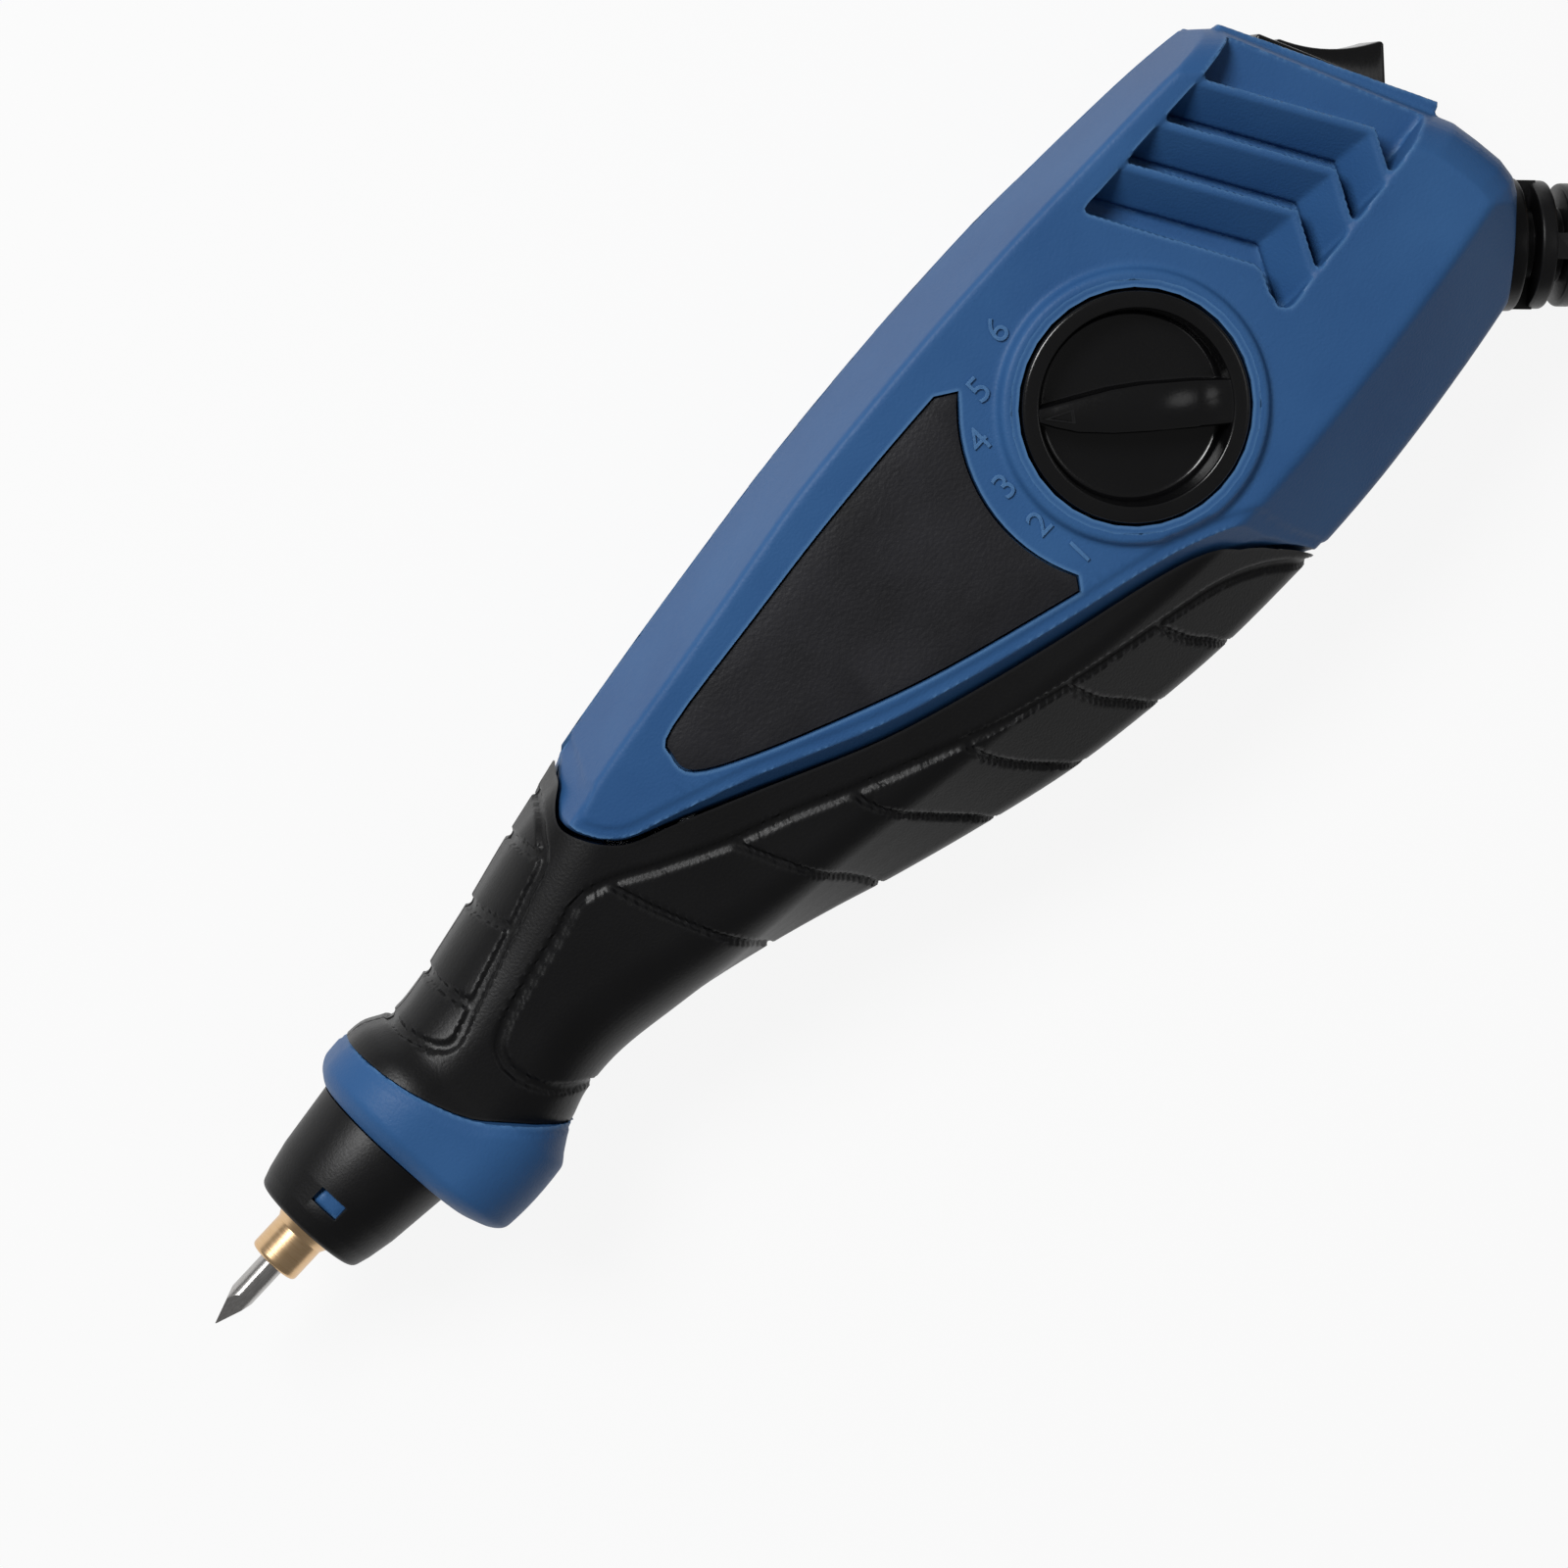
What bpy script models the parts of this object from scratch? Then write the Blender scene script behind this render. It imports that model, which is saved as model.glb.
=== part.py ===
# Electric engraving pen: a corded hand tool whose magnet drives a bit to and fro.
# Metres, +Z up. The pen lies on its back with the depth dial facing up. +X runs from the bit
# to the switch end, and the origin is on the back face, under the tool axis beside the dial.
# The pieces are modelled round the tool axis (y = 0, z = 0) and hang from one empty that lifts
# them by half the body's thickness.

from math import atan2, cos, hypot, pi, radians, sin, tan

import bmesh
import bpy
from mathutils import Matrix, Vector

# Body: length behind the collar, reach to either side of the tool axis, half thickness
BODY_LENGTH = 0.160
UPPER_REACH = 0.0224
LOWER_REACH = 0.0304
HALF_THICK = 0.018

# Clearances
GAP = 0.0003
SEAM = 0.0003
CUT_OVER = 0.002
MERGE = 0.000001
FLAT_ANGLE = radians(0.05)
FAR = BODY_LENGTH

# Walls and skins
GRIP_SKIN = 0.0015
LABEL_SINK = 0.0005
LABEL_THICK = 0.0008
ARC_STEPS = 3
ROUND_SHARE = 0.98

# Half sections of the housing, front to back. Each row holds the station, the side reach at the
# seam, the four corners (y, h) from the upper side round to the lower side, and three radii.
# Stations are shares of BODY_LENGTH, y of the reach on that side, heights and radii of HALF_THICK.
# The rear half leans in more than the front half, by one share of its flat's corners.
HOUSING_SHARES = (
    (-0.487, 0.656, 0.500, 0.783, -0.263, 0.772, -0.493, 0.361, -0.480, 0.050, 0.111, 0.167),
    (-0.469, 0.683, 0.522, 0.806, -0.296, 0.806, -0.520, 0.361, -0.507, 0.050, 0.111, 0.167),
    (-0.412, 0.746, 0.594, 0.861, -0.378, 0.861, -0.599, 0.361, -0.586, 0.050, 0.111, 0.167),
    (-0.344, 0.812, 0.665, 0.917, -0.461, 0.917, -0.704, 0.378, -0.691, 0.050, 0.111, 0.167),
    (-0.275, 0.871, 0.741, 0.956, -0.543, 0.956, -0.803, 0.400, -0.789, 0.050, 0.111, 0.167),
    (-0.206, 0.926, 0.817, 0.983, -0.602, 0.983, -0.895, 0.417, -0.882, 0.050, 0.111, 0.167),
    (-0.138, 0.964, 0.857, 1.000, -0.638, 1.000, -0.957, 0.433, -0.944, 0.050, 0.111, 0.167),
    (-0.062, 0.991, 0.888, 1.000, -0.651, 1.000, -0.993, 0.444, -0.980, 0.050, 0.111, 0.167),
    (0.025, 1.000, 0.902, 1.000, -0.641, 1.000, -1.000, 0.444, -0.987, 0.050, 0.111, 0.167),
    (0.081, 0.982, 0.900, 1.000, -0.625, 1.000, -0.990, 0.444, -0.977, 0.050, 0.111, 0.167),
    (0.131, 0.964, 0.897, 1.000, -0.605, 1.000, -0.967, 0.444, -0.954, 0.050, 0.111, 0.167),
    (0.175, 0.942, 0.891, 1.000, -0.582, 1.000, -0.941, 0.433, -0.928, 0.050, 0.111, 0.167),
    (0.212, 0.911, 0.866, 1.000, -0.559, 1.000, -0.914, 0.422, -0.901, 0.050, 0.111, 0.167),
    (0.263, 0.848, 0.804, 1.000, -0.520, 1.000, -0.868, 0.411, -0.855, 0.050, 0.111, 0.167),
    (0.362, 0.714, 0.670, 1.000, -0.428, 1.000, -0.757, 0.389, -0.743, 0.050, 0.111, 0.167),
)

REAR_LEAN_SHARE = 0.945

# Half sections of the soft grip's outside, written alike
GRIP_SHARES = (
    (-0.706, 0.509, 0.482, 0.700, -0.428, 0.700, -0.454, 0.067, -0.454, 0.556, 0.556, 0.056),
    (-0.675, 0.500, 0.473, 0.678, -0.428, 0.678, -0.454, 0.067, -0.454, 0.556, 0.556, 0.056),
    (-0.654, 0.424, 0.402, 0.606, -0.421, 0.622, -0.454, 0.067, -0.454, 0.472, 0.528, 0.056),
    (-0.625, 0.433, 0.411, 0.589, -0.414, 0.600, -0.444, 0.067, -0.444, 0.489, 0.528, 0.056),
    (-0.600, 0.469, 0.442, 0.594, -0.385, 0.600, -0.405, 0.067, -0.405, 0.511, 0.528, 0.056),
    (-0.562, 0.522, 0.491, 0.622, -0.375, 0.622, -0.398, 0.067, -0.398, 0.528, 0.528, 0.056),
    (-0.512, 0.603, 0.562, 0.672, -0.388, 0.661, -0.438, 0.100, -0.434, 0.500, 0.500, 0.111),
    (-0.475, 0.656, 0.598, 0.711, -0.391, 0.689, -0.480, 0.139, -0.474, 0.444, 0.444, 0.167),
    (-0.434, 0.714, 0.629, 0.744, -0.391, 0.717, -0.539, 0.183, -0.530, 0.361, 0.389, 0.222),
    (-0.388, 0.759, 0.661, 0.789, -0.405, 0.750, -0.615, 0.233, -0.602, 0.278, 0.333, 0.222),
    (-0.344, 0.804, 0.696, 0.828, -0.424, 0.778, -0.694, 0.278, -0.681, 0.222, 0.333, 0.222),
    (-0.275, 0.862, 0.754, 0.867, -0.480, 0.828, -0.803, 0.328, -0.789, 0.167, 0.278, 0.222),
    (-0.206, 0.920, 0.812, 0.889, -0.533, 0.867, -0.898, 0.361, -0.885, 0.167, 0.222, 0.222),
    (-0.138, 0.955, 0.848, 0.900, -0.586, 0.889, -0.957, 0.378, -0.944, 0.167, 0.222, 0.222),
    (-0.062, 0.987, 0.884, 0.900, -0.635, 0.889, -1.000, 0.389, -0.987, 0.167, 0.222, 0.222),
    (0.037, 0.982, 0.884, 0.900, -0.668, 0.878, -1.013, 0.400, -1.000, 0.167, 0.222, 0.222),
)

# Half sections of the hollow inside the shells, written alike
CAVITY_SHARES = (
    (-0.394, 0.562, 0.491, 0.567, -0.197, 0.567, -0.470, 0.139, -0.461, 0.167, 0.167, 0.111),
    (-0.344, 0.652, 0.562, 0.739, -0.049, 0.739, -0.566, 0.222, -0.553, 0.111, 0.167, 0.111),
    (-0.275, 0.741, 0.634, 0.806, -0.237, 0.806, -0.668, 0.278, -0.655, 0.056, 0.167, 0.111),
    (-0.206, 0.799, 0.705, 0.833, -0.312, 0.833, -0.763, 0.311, -0.750, 0.056, 0.167, 0.111),
    (-0.138, 0.844, 0.746, 0.850, -0.368, 0.850, -0.822, 0.328, -0.809, 0.056, 0.167, 0.111),
    (-0.062, 0.875, 0.777, 0.856, -0.408, 0.856, -0.865, 0.339, -0.852, 0.056, 0.167, 0.111),
    (0.025, 0.884, 0.786, 0.856, -0.441, 0.856, -0.882, 0.344, -0.868, 0.056, 0.167, 0.111),
    (0.081, 0.866, 0.786, 0.856, -0.520, 0.856, -0.901, 0.367, -0.888, 0.056, 0.167, 0.111),
    (0.175, 0.830, 0.777, 0.856, -0.487, 0.856, -0.855, 0.356, -0.842, 0.056, 0.167, 0.111),
    (0.362, 0.607, 0.562, 0.856, -0.345, 0.856, -0.671, 0.311, -0.658, 0.056, 0.167, 0.111),
)

# Half sections of the nose collar, written alike: it swells into a finger guard below
COLLAR_SHARES = (
    (-0.721, 0.429, 0.415, 0.589, -0.382, 0.589, -0.414, 0.056, -0.414, 0.517, 0.517, 0.056),
    (-0.715, 0.478, 0.464, 0.667, -0.461, 0.667, -0.500, 0.056, -0.500, 0.572, 0.572, 0.056),
    (-0.706, 0.504, 0.491, 0.722, -0.500, 0.722, -0.536, 0.067, -0.536, 0.583, 0.583, 0.056),
    (-0.652, 0.500, 0.487, 0.717, -0.500, 0.717, -0.533, 0.067, -0.533, 0.583, 0.583, 0.056),
    (-0.641, 0.495, 0.478, 0.700, -0.467, 0.700, -0.495, 0.067, -0.495, 0.583, 0.556, 0.056),
    (-0.625, 0.491, 0.473, 0.689, -0.421, 0.689, -0.451, 0.067, -0.451, 0.583, 0.556, 0.056),
    (-0.600, 0.491, 0.473, 0.689, -0.414, 0.689, -0.441, 0.067, -0.441, 0.583, 0.556, 0.056),
)

# Plan outlines: x as a share of BODY_LENGTH, y of the reach on that side. The first is the edge
# between the blue panel and the grip, then the collar's rear edge and the shells' rear end.
PANEL_EDGE_SHARES = (
    (-0.416, 1.786), (-0.425, 0.893), (-0.433, 0.732), (-0.447, 0.651), (-0.464, 0.589),
    (-0.473, 0.531), (-0.474, 0.474), (-0.471, 0.402), (-0.464, 0.312), (-0.450, 0.214),
    (-0.415, 0.091), (-0.349, -0.118), (-0.283, -0.293), (-0.216, -0.424), (-0.149, -0.533),
    (-0.081, -0.628), (-0.041, -0.701), (-0.005, -0.806), (0.019, -0.941), (0.029, -1.086),
    (0.029, -1.480),
)
COLLAR_EDGE_SHARES = (
    (-0.688, 1.357), (-0.684, 0.491), (-0.667, -0.043), (-0.646, -0.227), (-0.622, -0.414),
    (-0.600, -0.600), (-0.590, -1.000),
)
REAR_EDGE_SHARES = (
    (0.193, 1.094), (0.233, 0.817), (0.301, -0.260), (0.304, -0.368), (0.306, -0.480),
    (0.304, -0.553), (0.299, -0.599), (0.238, -0.896), (0.188, -1.118),
)
# The switch and the cord outlet: the point that their facet starts at, and the share along it
SWITCH_FACET = 1
SWITCH_SHARE = 0.52
OUTLET_FACET = 6
OUTLET_SHARE = 0.474
# Outline levels as shares of HALF_THICK. The panel's edge draws in there by a share of it, and
# the rear end shrinks towards a focus to a share of its size.
PANEL_DRAFT_SHARES = ((-1.111, 0.289), (-0.611, 0), (0.611, 0), (1.111, 0.289))
REAR_ROLL_SHARES = (
    (-1.111, 0.811), (-0.967, 0.903), (-0.833, 0.956), (-0.611, 0.989), (-0.389, 1),
    (0.389, 1), (0.611, 0.989), (0.833, 0.956), (0.967, 0.903), (1.111, 0.811),
)
REAR_FOCUS_SHARE = -0.132
REAR_WALL = 0.0023
REAR_WALL_SHARE = 0.947
# The draft is gentler round the panel's tip, over this run behind it
PANEL_TIP_SHARE = 0.35
PANEL_TIP_RUN = 0.025

# Magnet: an E-shaped stack of laminations, open to the front
CORE_FRONT = -0.0377
CORE_REAR = -0.008
YOKE_DEPTH = 0.006
CORE_HALF_WIDTH = 0.0112
CORE_HALF_STACK = 0.0065
MIDDLE_LEG = 0.0035
SIDE_LEG = 0.003
BOBBIN_WALL = 0.0008
BOBBIN_FLANGE = 0.001
BOBBIN_HALF_WIDTH = 0.0079
BOBBIN_HALF_HEIGHT = 0.0098
BOBBIN_FRONT = -0.0355
WINDING_INSET = 0.0004
ARMATURE_THICK = 0.005
ARMATURE_HALF_WIDTH = 0.011
ARMATURE_RISE = 0.0027
AIR_GAP = 0.0024
BUFFER_RADIUS = 0.0055
BUFFER_THICK = 0.0022
CRADLE_WALL = 0.0022
CRADLE_TOP = -0.001
CRADLE_FRONT = -0.026
CRADLE_REAR = -0.0125

# Stroke stop: a slider whose arms catch the armature. The dial's cam has a spiral edge, which
# pushes the slider's pin evenly forward as the dial turns to a lower setting. At the lowest one
# the arms still leave the plunger its stroke.
STROKE = 0.001
DIAL_DOWN = radians(32)
DIAL_UP = radians(66)
SPIRAL_RATE = 0.0005
CAM_RADIUS = 0.0095
PIN_RADIUS = 0.0012
PIN_REACH = CAM_RADIUS + GAP + PIN_RADIUS
CAM_SPARE = 2 * (PIN_RADIUS + GAP) / CAM_RADIUS
CAM_REACH = CAM_RADIUS + SPIRAL_RATE * (DIAL_UP + CAM_SPARE)
CAM_STEPS = 40
SLIDER_THICK = 0.002
SLIDER_LIFT = 0.00035
SLIDER_LAND = 0.003
SLIDER_REAR = SLIDER_LAND + PIN_RADIUS - PIN_REACH
CAM_LOW = CORE_HALF_STACK + SLIDER_LIFT + SLIDER_THICK + SLIDER_LIFT
CAM_THICK = 0.0023
SCREW_HEAD_RADIUS = 0.004
SCREW_HEAD_THICK = 0.0013
SCREW_SHANK = 0.0012
SCREW_DEPTH = 0.0036

# Depth dial and the raised ring round it
DIAL_Y = -0.0019
RING_RADIUS = 0.0145
RING_PROUD = 0.0012
RING_TOP = HALF_THICK + RING_PROUD
RING_BEVEL = 0.0006
WELL_RADIUS = 0.013
WELL_FLOOR_LOW = CAM_LOW + CAM_THICK + GAP
WELL_FLOOR_THICK = 0.0016
WELL_FLOOR_HIGH = WELL_FLOOR_LOW + WELL_FLOOR_THICK
CUP_WALL = 0.002
CUP_RADIUS = WELL_RADIUS + CUP_WALL
KNOB_CLEARANCE = 0.00035
KNOB_RADIUS = WELL_RADIUS - KNOB_CLEARANCE
KNOB_RIM = 0.0019
KNOB_PROUD = 0.0004
KNOB_TOP = RING_TOP + KNOB_PROUD
KNOB_FLOOR = 0.0025
KNOB_DISH = WELL_FLOOR_HIGH + GAP + KNOB_FLOOR
KNOB_BEVEL = 0.0006
KNOB_SHAFT = 0.0026
BAR_PROUD = 0.0006
BAR_WIDTH = 0.0048
BAR_TIP = 0.0001
BAR_ANGLE = radians(137)
KNOB_STEPS = 32
NOSE_STEPS = 24
SCREW_STEPS = 10

# Nose places follow the collar's front, which is a share of the body
COLLAR_FRONT = COLLAR_SHARES[0][0] * BODY_LENGTH
COLLAR_WALL = 0.0019
SHELL_SPIGOT_FRONT = COLLAR_FRONT + COLLAR_WALL
SHELL_SPIGOT_REAR = COLLAR_EDGE_SHARES[-1][0] * BODY_LENGTH + GAP
COLLAR_BORE = 0.0079

# Plunger, with its flange, spring and bushing
ROD_RADIUS = 0.002
ROD_CLEARANCE = 0.00035
BUSHING_RADIUS = 0.006
BUSHING_LENGTH = 0.0065
BUSHING_INSET = 0.0079
BUSHING_FRONT = COLLAR_FRONT + BUSHING_INSET
FLANGE_RADIUS = 0.0042
FLANGE_THICK = 0.002
FLANGE_ROOM = 0.004
FLANGE_FRONT = BUSHING_FRONT + BUSHING_LENGTH + FLANGE_ROOM
NECK_BORE = 0.0053
GUIDE_THICK = 0.003
GUIDE_INSET = 0.009
GUIDE_FRONT = CAVITY_SHARES[0][0] * BODY_LENGTH - GUIDE_INSET
BRIDGE_THICK = 0.0032
BRIDGE_HALF_WIDTH = 0.009
SPRING_RADIUS = 0.0034
SPRING_WIRE = 0.0009
SPRING_CURLS = 8
SPRING_POINTS = 8

# Nose: collar spigot, snap lugs, cap
SPIGOT_RADIUS = 0.007
SPIGOT_LENGTH = 0.0098
SPIGOT_FRONT = COLLAR_FRONT - SPIGOT_LENGTH
SPIGOT_BORE = 0.0053
LUG_FRONT = SPIGOT_FRONT + GAP
LUG_LENGTH = 0.0015
LUG_HALF_WIDTH = 0.0015
LUG_PROUD = 0.0005
LUG_TOP = SPIGOT_RADIUS + LUG_PROUD
CAP_PROFILE_SHARES = ((0, 1.0), (0.60, 0.90), (0.82, 0.83), (0.95, 0.785), (1.0, 0.70))
CAP_LENGTH = 0.0128
CAP_RADIUS = 0.0091
CAP_FRONT_WALL = 0.003
CAP_HOLE = 0.0043

# Chuck, bit and set screw
CHUCK_REACH = 0.0188
CHUCK_FRONT = COLLAR_FRONT - CHUCK_REACH
CHUCK_NECK_LENGTH = 0.0044
CHUCK_FLARE_LENGTH = 0.0013
CHUCK_LENGTH = 0.0252
CHUCK_NECK_RADIUS = 0.0031
CHUCK_RADIUS = 0.00385
CHUCK_WEB = 0.002
BIT_SEAT = 0.0185
BIT_RADIUS = 0.0015
BIT_REACH = 0.0094
BIT_TIP = CHUCK_FRONT - BIT_REACH
BIT_POINT = 0.0046
BIT_TIP_RADIUS = 0.0001
BIT_FLAT_DEPTH = 0.0004
BIT_FLAT_LENGTH = 0.012
SET_SCREW_INSET = 0.0023
SET_SCREW_X = CHUCK_FRONT + SET_SCREW_INSET
SET_SCREW_RADIUS = 0.001
SMALL_STEPS = 16

# Vents: three chevron louvres, each a slope that ends in a slot through the wall. The chevron is
# a plan outline as above, and the levels lie under the front face.
VENT_ROUTE_SHARES = ((0.108, 0.746), (0.166, -0.020), (0.149, -0.207))
VENT_PITCH = 0.0062
VENT_COUNT = 3
VENT_RIDGE = 0.0009
VENT_SLOT = 0.0013
VENT_RIM_DROP = 0.0003
VENT_SLOPE_DROP = 0.0015
VENT_SLOT_DROP = 0.0016
VENT_CREST = HALF_THICK - VENT_RIM_DROP
VENT_FOOT = VENT_CREST - VENT_SLOPE_DROP
VENT_BOTTOM = VENT_FOOT - VENT_SLOT_DROP

# Label plate: corners in plan before its arc, which follows the dial. Their x is a share of the
# run from the arc's lower end to the plate's front, which is itself a share of BODY_LENGTH.
LABEL_FRONT_SHARE = -0.386
LABEL_CORNER_SHARES = (
    (0.020, -0.375), (0.383, -0.214), (0.623, -0.079), (0.862, 0.103), (0.993, 0.258),
    (1.000, 0.387), (0.949, 0.474), (0.612, 0.554), (0.369, 0.605), (0.129, 0.638),
    (-0.074, 0.655),
)
LABEL_ARC = 0.0195
LABEL_ARC_FROM = radians(129)
LABEL_ARC_TO = radians(205)
LABEL_ARC_STEPS = 8

# Switch in the slanted rear facet. Its profile is given as (out of the facet, along it).
BEZEL_LENGTH = 0.0205
BEZEL_WIDTH = 0.015
BEZEL_THICK = 0.0012
SWITCH_BODY_LENGTH = 0.0188
SWITCH_BODY_WIDTH = 0.0129
SWITCH_DEPTH = 0.0125
ROCKER_PIVOT = -0.001
ROCKER_HALF_LENGTH = 0.0065
ROCKER_HALF_WIDTH = 0.0046
ROCKER_CREST = 0.0056
ROCKER_WING = 0.0041
ROCKER_DIP = 0.0033
ROCKER_HEEL = -0.0008
ROCKER_SOLE = -0.004
ROCKER_SOLE_HALF = 0.0042
ROCKER_TILT = radians(20)
POCKET_ROOM = 0.0009
POCKET_FLOOR = -0.0062
TERMINAL_LENGTH = 0.007
TERMINAL_WIDTH = 0.0048
TERMINAL_THICK = 0.0008
TERMINAL_SPREAD = 0.0035

# Shell screws from the back, each in a pair of bosses. The first pair stands beside the magnet and
# the cam. The front bosses reach the panel, but the one under the vents stops short of them and
# stands on the side wall.
BACK_BOSS = 0.0046
FRONT_BOSS = 0.0034
BOSS_ROOM = 0.0009
SCREW_FRONT_X = CORE_REAR + BACK_BOSS + BOSS_ROOM
SCREW_REAR_SHARES = (0.15, 0.737, -0.493)
SCREW_PLACES = (
    (SCREW_FRONT_X, CORE_HALF_WIDTH + BACK_BOSS + GAP),
    (SCREW_FRONT_X, DIAL_Y - CAM_REACH - FRONT_BOSS - BOSS_ROOM),
    (SCREW_REAR_SHARES[0] * BODY_LENGTH, SCREW_REAR_SHARES[1] * UPPER_REACH),
    (SCREW_REAR_SHARES[0] * BODY_LENGTH, SCREW_REAR_SHARES[2] * LOWER_REACH),
)
BOSS_INSET = 0.002
LOW_BOSS_DROP = 0.0021
BOSS_TOP = HALF_THICK - BOSS_INSET
BOSS_TOPS = (BOSS_TOP, BOSS_TOP, VENT_BOTTOM - LOW_BOSS_DROP, BOSS_TOP)
COUNTERBORE_TOP = -0.006
HEAD_RADIUS = 0.0028
COUNTERBORE = HEAD_RADIUS + GAP
HEAD_THICK = 0.0022
SHANK_RADIUS = 0.0014
SHANK_TOP = 0.008

# Cord outlet in the lower rear facet: strain relief, clamp, cord
RELIEF_FLANGE = 0.0072
RELIEF_FLANGE_THICK = 0.002
RELIEF_NECK = 0.0052
RELIEF_RADIUS = 0.0075
RELIEF_END_RADIUS = 0.0044
RELIEF_LENGTH = 0.042
RELIEF_RIBS = 12
RELIEF_GROOVE = 0.0013
RELIEF_GROOVE_SHARE = 0.4
CORD_RADIUS = 0.00275
CLAMP_REACH = 0.0085
CLAMP_LENGTH = 0.0105
CLAMP_WIDTH = 0.005
CLAMP_TOP = 0.0055
CLAMP_FOOT = -0.0028
CLAMP_SCREW_SPREAD = 0.0041
CLAMP_SCREW_RADIUS = 0.0006
CLAMP_HEAD_RADIUS = 0.001
CLAMP_HEAD_THICK = 0.0009
CLAMP_SCREW_DEPTH = 0.004

# Cord: free stretch to the coil, coil of two layers on the floor (z = 0), and a tail that
# comes back over the coil, so that the plug lies on it
CORD_ROUTE = (
    (0.0345, -0.0130, 0.0180), (0.0440, -0.0233, 0.0180), (0.0576, -0.0380, 0.0180),
    (0.0720, -0.0536, 0.0180), (0.0750, -0.0568, 0.0180), (0.08126, -0.06358, 0.0172),
    (0.09285, -0.07196, 0.0146), (0.10687, -0.07629, 0.0114), (0.1212, -0.07595, 0.0082),
    (0.1343, -0.0710, 0.0056), (0.1435, -0.0632, 0.0041), (0.1495, -0.0541, 0.00355),
)
COIL_CENTRE = (0.1165, -0.0310)
COIL_INNER = 0.018
COIL_PITCH = 0.006
COIL_TURNS = 7
COIL_POINTS = 24
COIL_LIFT = 0.0007
LAYER_RISE = 0.00595
COIL_START = radians(340)
TAIL_ROUTE = (
    (0.15578, -0.02963, 0.0103), (0.15296, -0.01773, 0.0122), (0.14507, -0.00702, 0.0148),
    (0.1338, -0.00104, 0.0176), (0.12185, -0.00067, 0.0200), (0.11347, -0.00276, 0.02105),
    (0.1105, -0.00544, 0.02115), (0.1068, -0.0088, 0.02115),
)
CORD_POINT_STEP = 0.012
TIE_ANGLE = radians(165)
TIE_WIDTH = 0.010
TIE_THICK = 0.0004
TIE_SPARE = 0.0012
PLUG_LENGTH = 0.030
PLUG_WIDTH = 0.024
PLUG_THICK = 0.016
PLUG_NECK_WIDTH = 0.011
PLUG_NECK_THICK = 0.010
PLUG_SHOULDER_SHARE = 0.45
PLUG_BORE_DEPTH = 0.005
PLUG_CORNER = 0.0025
BLADE_WIDTH = 0.0063
BLADE_THICK = 0.0015
BLADE_LENGTH = 0.0165
BLADE_ROOT = 0.004
BLADE_SPREAD = 0.0127


# Materials

def linear(share):
    if share <= 0.04045:
        return share / 12.92
    return ((share + 0.055) / 1.055) ** 2.4


def finish(name, colour, roughness, metallic=0):
    material = bpy.data.materials.new(name)
    material.use_nodes = True
    shader = material.node_tree.nodes['Principled BSDF']
    parts = [linear(int(colour[i:i + 2], 16) / 255) for i in (0, 2, 4)]
    shader.inputs['Base Color'].default_value = (*parts, 1)
    shader.inputs['Roughness'].default_value = roughness
    shader.inputs['Metallic'].default_value = metallic
    material.diffuse_color = (*parts, 1)
    return material


# Solids: a loft through rings, a turned profile, a prism, a bevelled curve

def solid(name, points, faces):
    mesh = bpy.data.meshes.new(name)
    mesh.from_pydata(points, [], faces)
    shape = bmesh.new()
    shape.from_mesh(mesh)
    bmesh.ops.recalc_face_normals(shape, faces=shape.faces)
    shape.to_mesh(mesh)
    shape.free()
    item = bpy.data.objects.new(name, mesh)
    bpy.context.collection.objects.link(item)
    return item


def loft(name, rings):
    count = len(rings[0])
    points = [point for ring in rings for point in ring]
    faces = []
    for k in range(len(rings) - 1):
        for i in range(count):
            j = (i + 1) % count
            faces.append((k * count + i, k * count + j, (k + 1) * count + j, (k + 1) * count + i))
    faces.append(tuple(range(count)))
    faces.append(tuple(range(len(points) - count, len(points))))
    return solid(name, points, faces)


def prism(name, outline, low, high):
    return loft(name, [[(x, y, level) for x, y in outline] for level in (low, high)])


def block(name, x_span, y_span, z_span):
    (x0, x1), (y0, y1) = x_span, y_span
    return prism(name, ((x0, y0), (x1, y0), (x1, y1), (x0, y1)), *z_span)


# A turned profile is a list of (place along the axis, radius). It is solid where it starts and
# ends on the axis, and otherwise a closed outline, as a tube has.
def turned(name, profile, steps=SMALL_STEPS, axis='X', centre=(0, 0)):
    points = []
    rings = []
    for along, radius in profile:
        ring = []
        for i in range(steps if radius > 0 else 1):
            turn = 2 * pi * i / steps
            across = radius * cos(turn) + centre[0]
            upward = radius * sin(turn) + centre[1]
            ring.append(len(points))
            points.append((along, across, upward) if axis == 'X' else (across, upward, along))
        rings.append(ring)
    pairs = list(zip(rings, rings[1:]))
    if profile[0][1] > 0:
        pairs.append((rings[-1], rings[0]))
    faces = []
    for first, second in pairs:
        for i in range(steps):
            j = (i + 1) % steps
            corners = [first[i % len(first)], first[j % len(first)],
                       second[j % len(second)], second[i % len(second)]]
            face = tuple(dict.fromkeys(corners))
            if len(face) > 2:
                faces.append(face)
    return solid(name, points, faces)


def rod(name, span, radius, steps=SMALL_STEPS, axis='X', centre=(0, 0)):
    profile = [(span[0], 0), (span[0], radius), (span[1], radius), (span[1], 0)]
    return turned(name, profile, steps, axis, centre)


def tube(name, route, radius, sides):
    curve = bpy.data.curves.new(name, 'CURVE')
    curve.dimensions = '3D'
    curve.bevel_depth = radius
    curve.bevel_resolution = sides
    curve.use_fill_caps = True
    line = curve.splines.new('POLY')
    line.points.add(len(route) - 1)
    for point, place in zip(line.points, route):
        point.co = (*place, 1)
    item = bpy.data.objects.new(name, curve)
    bpy.context.collection.objects.link(item)
    return item


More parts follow.
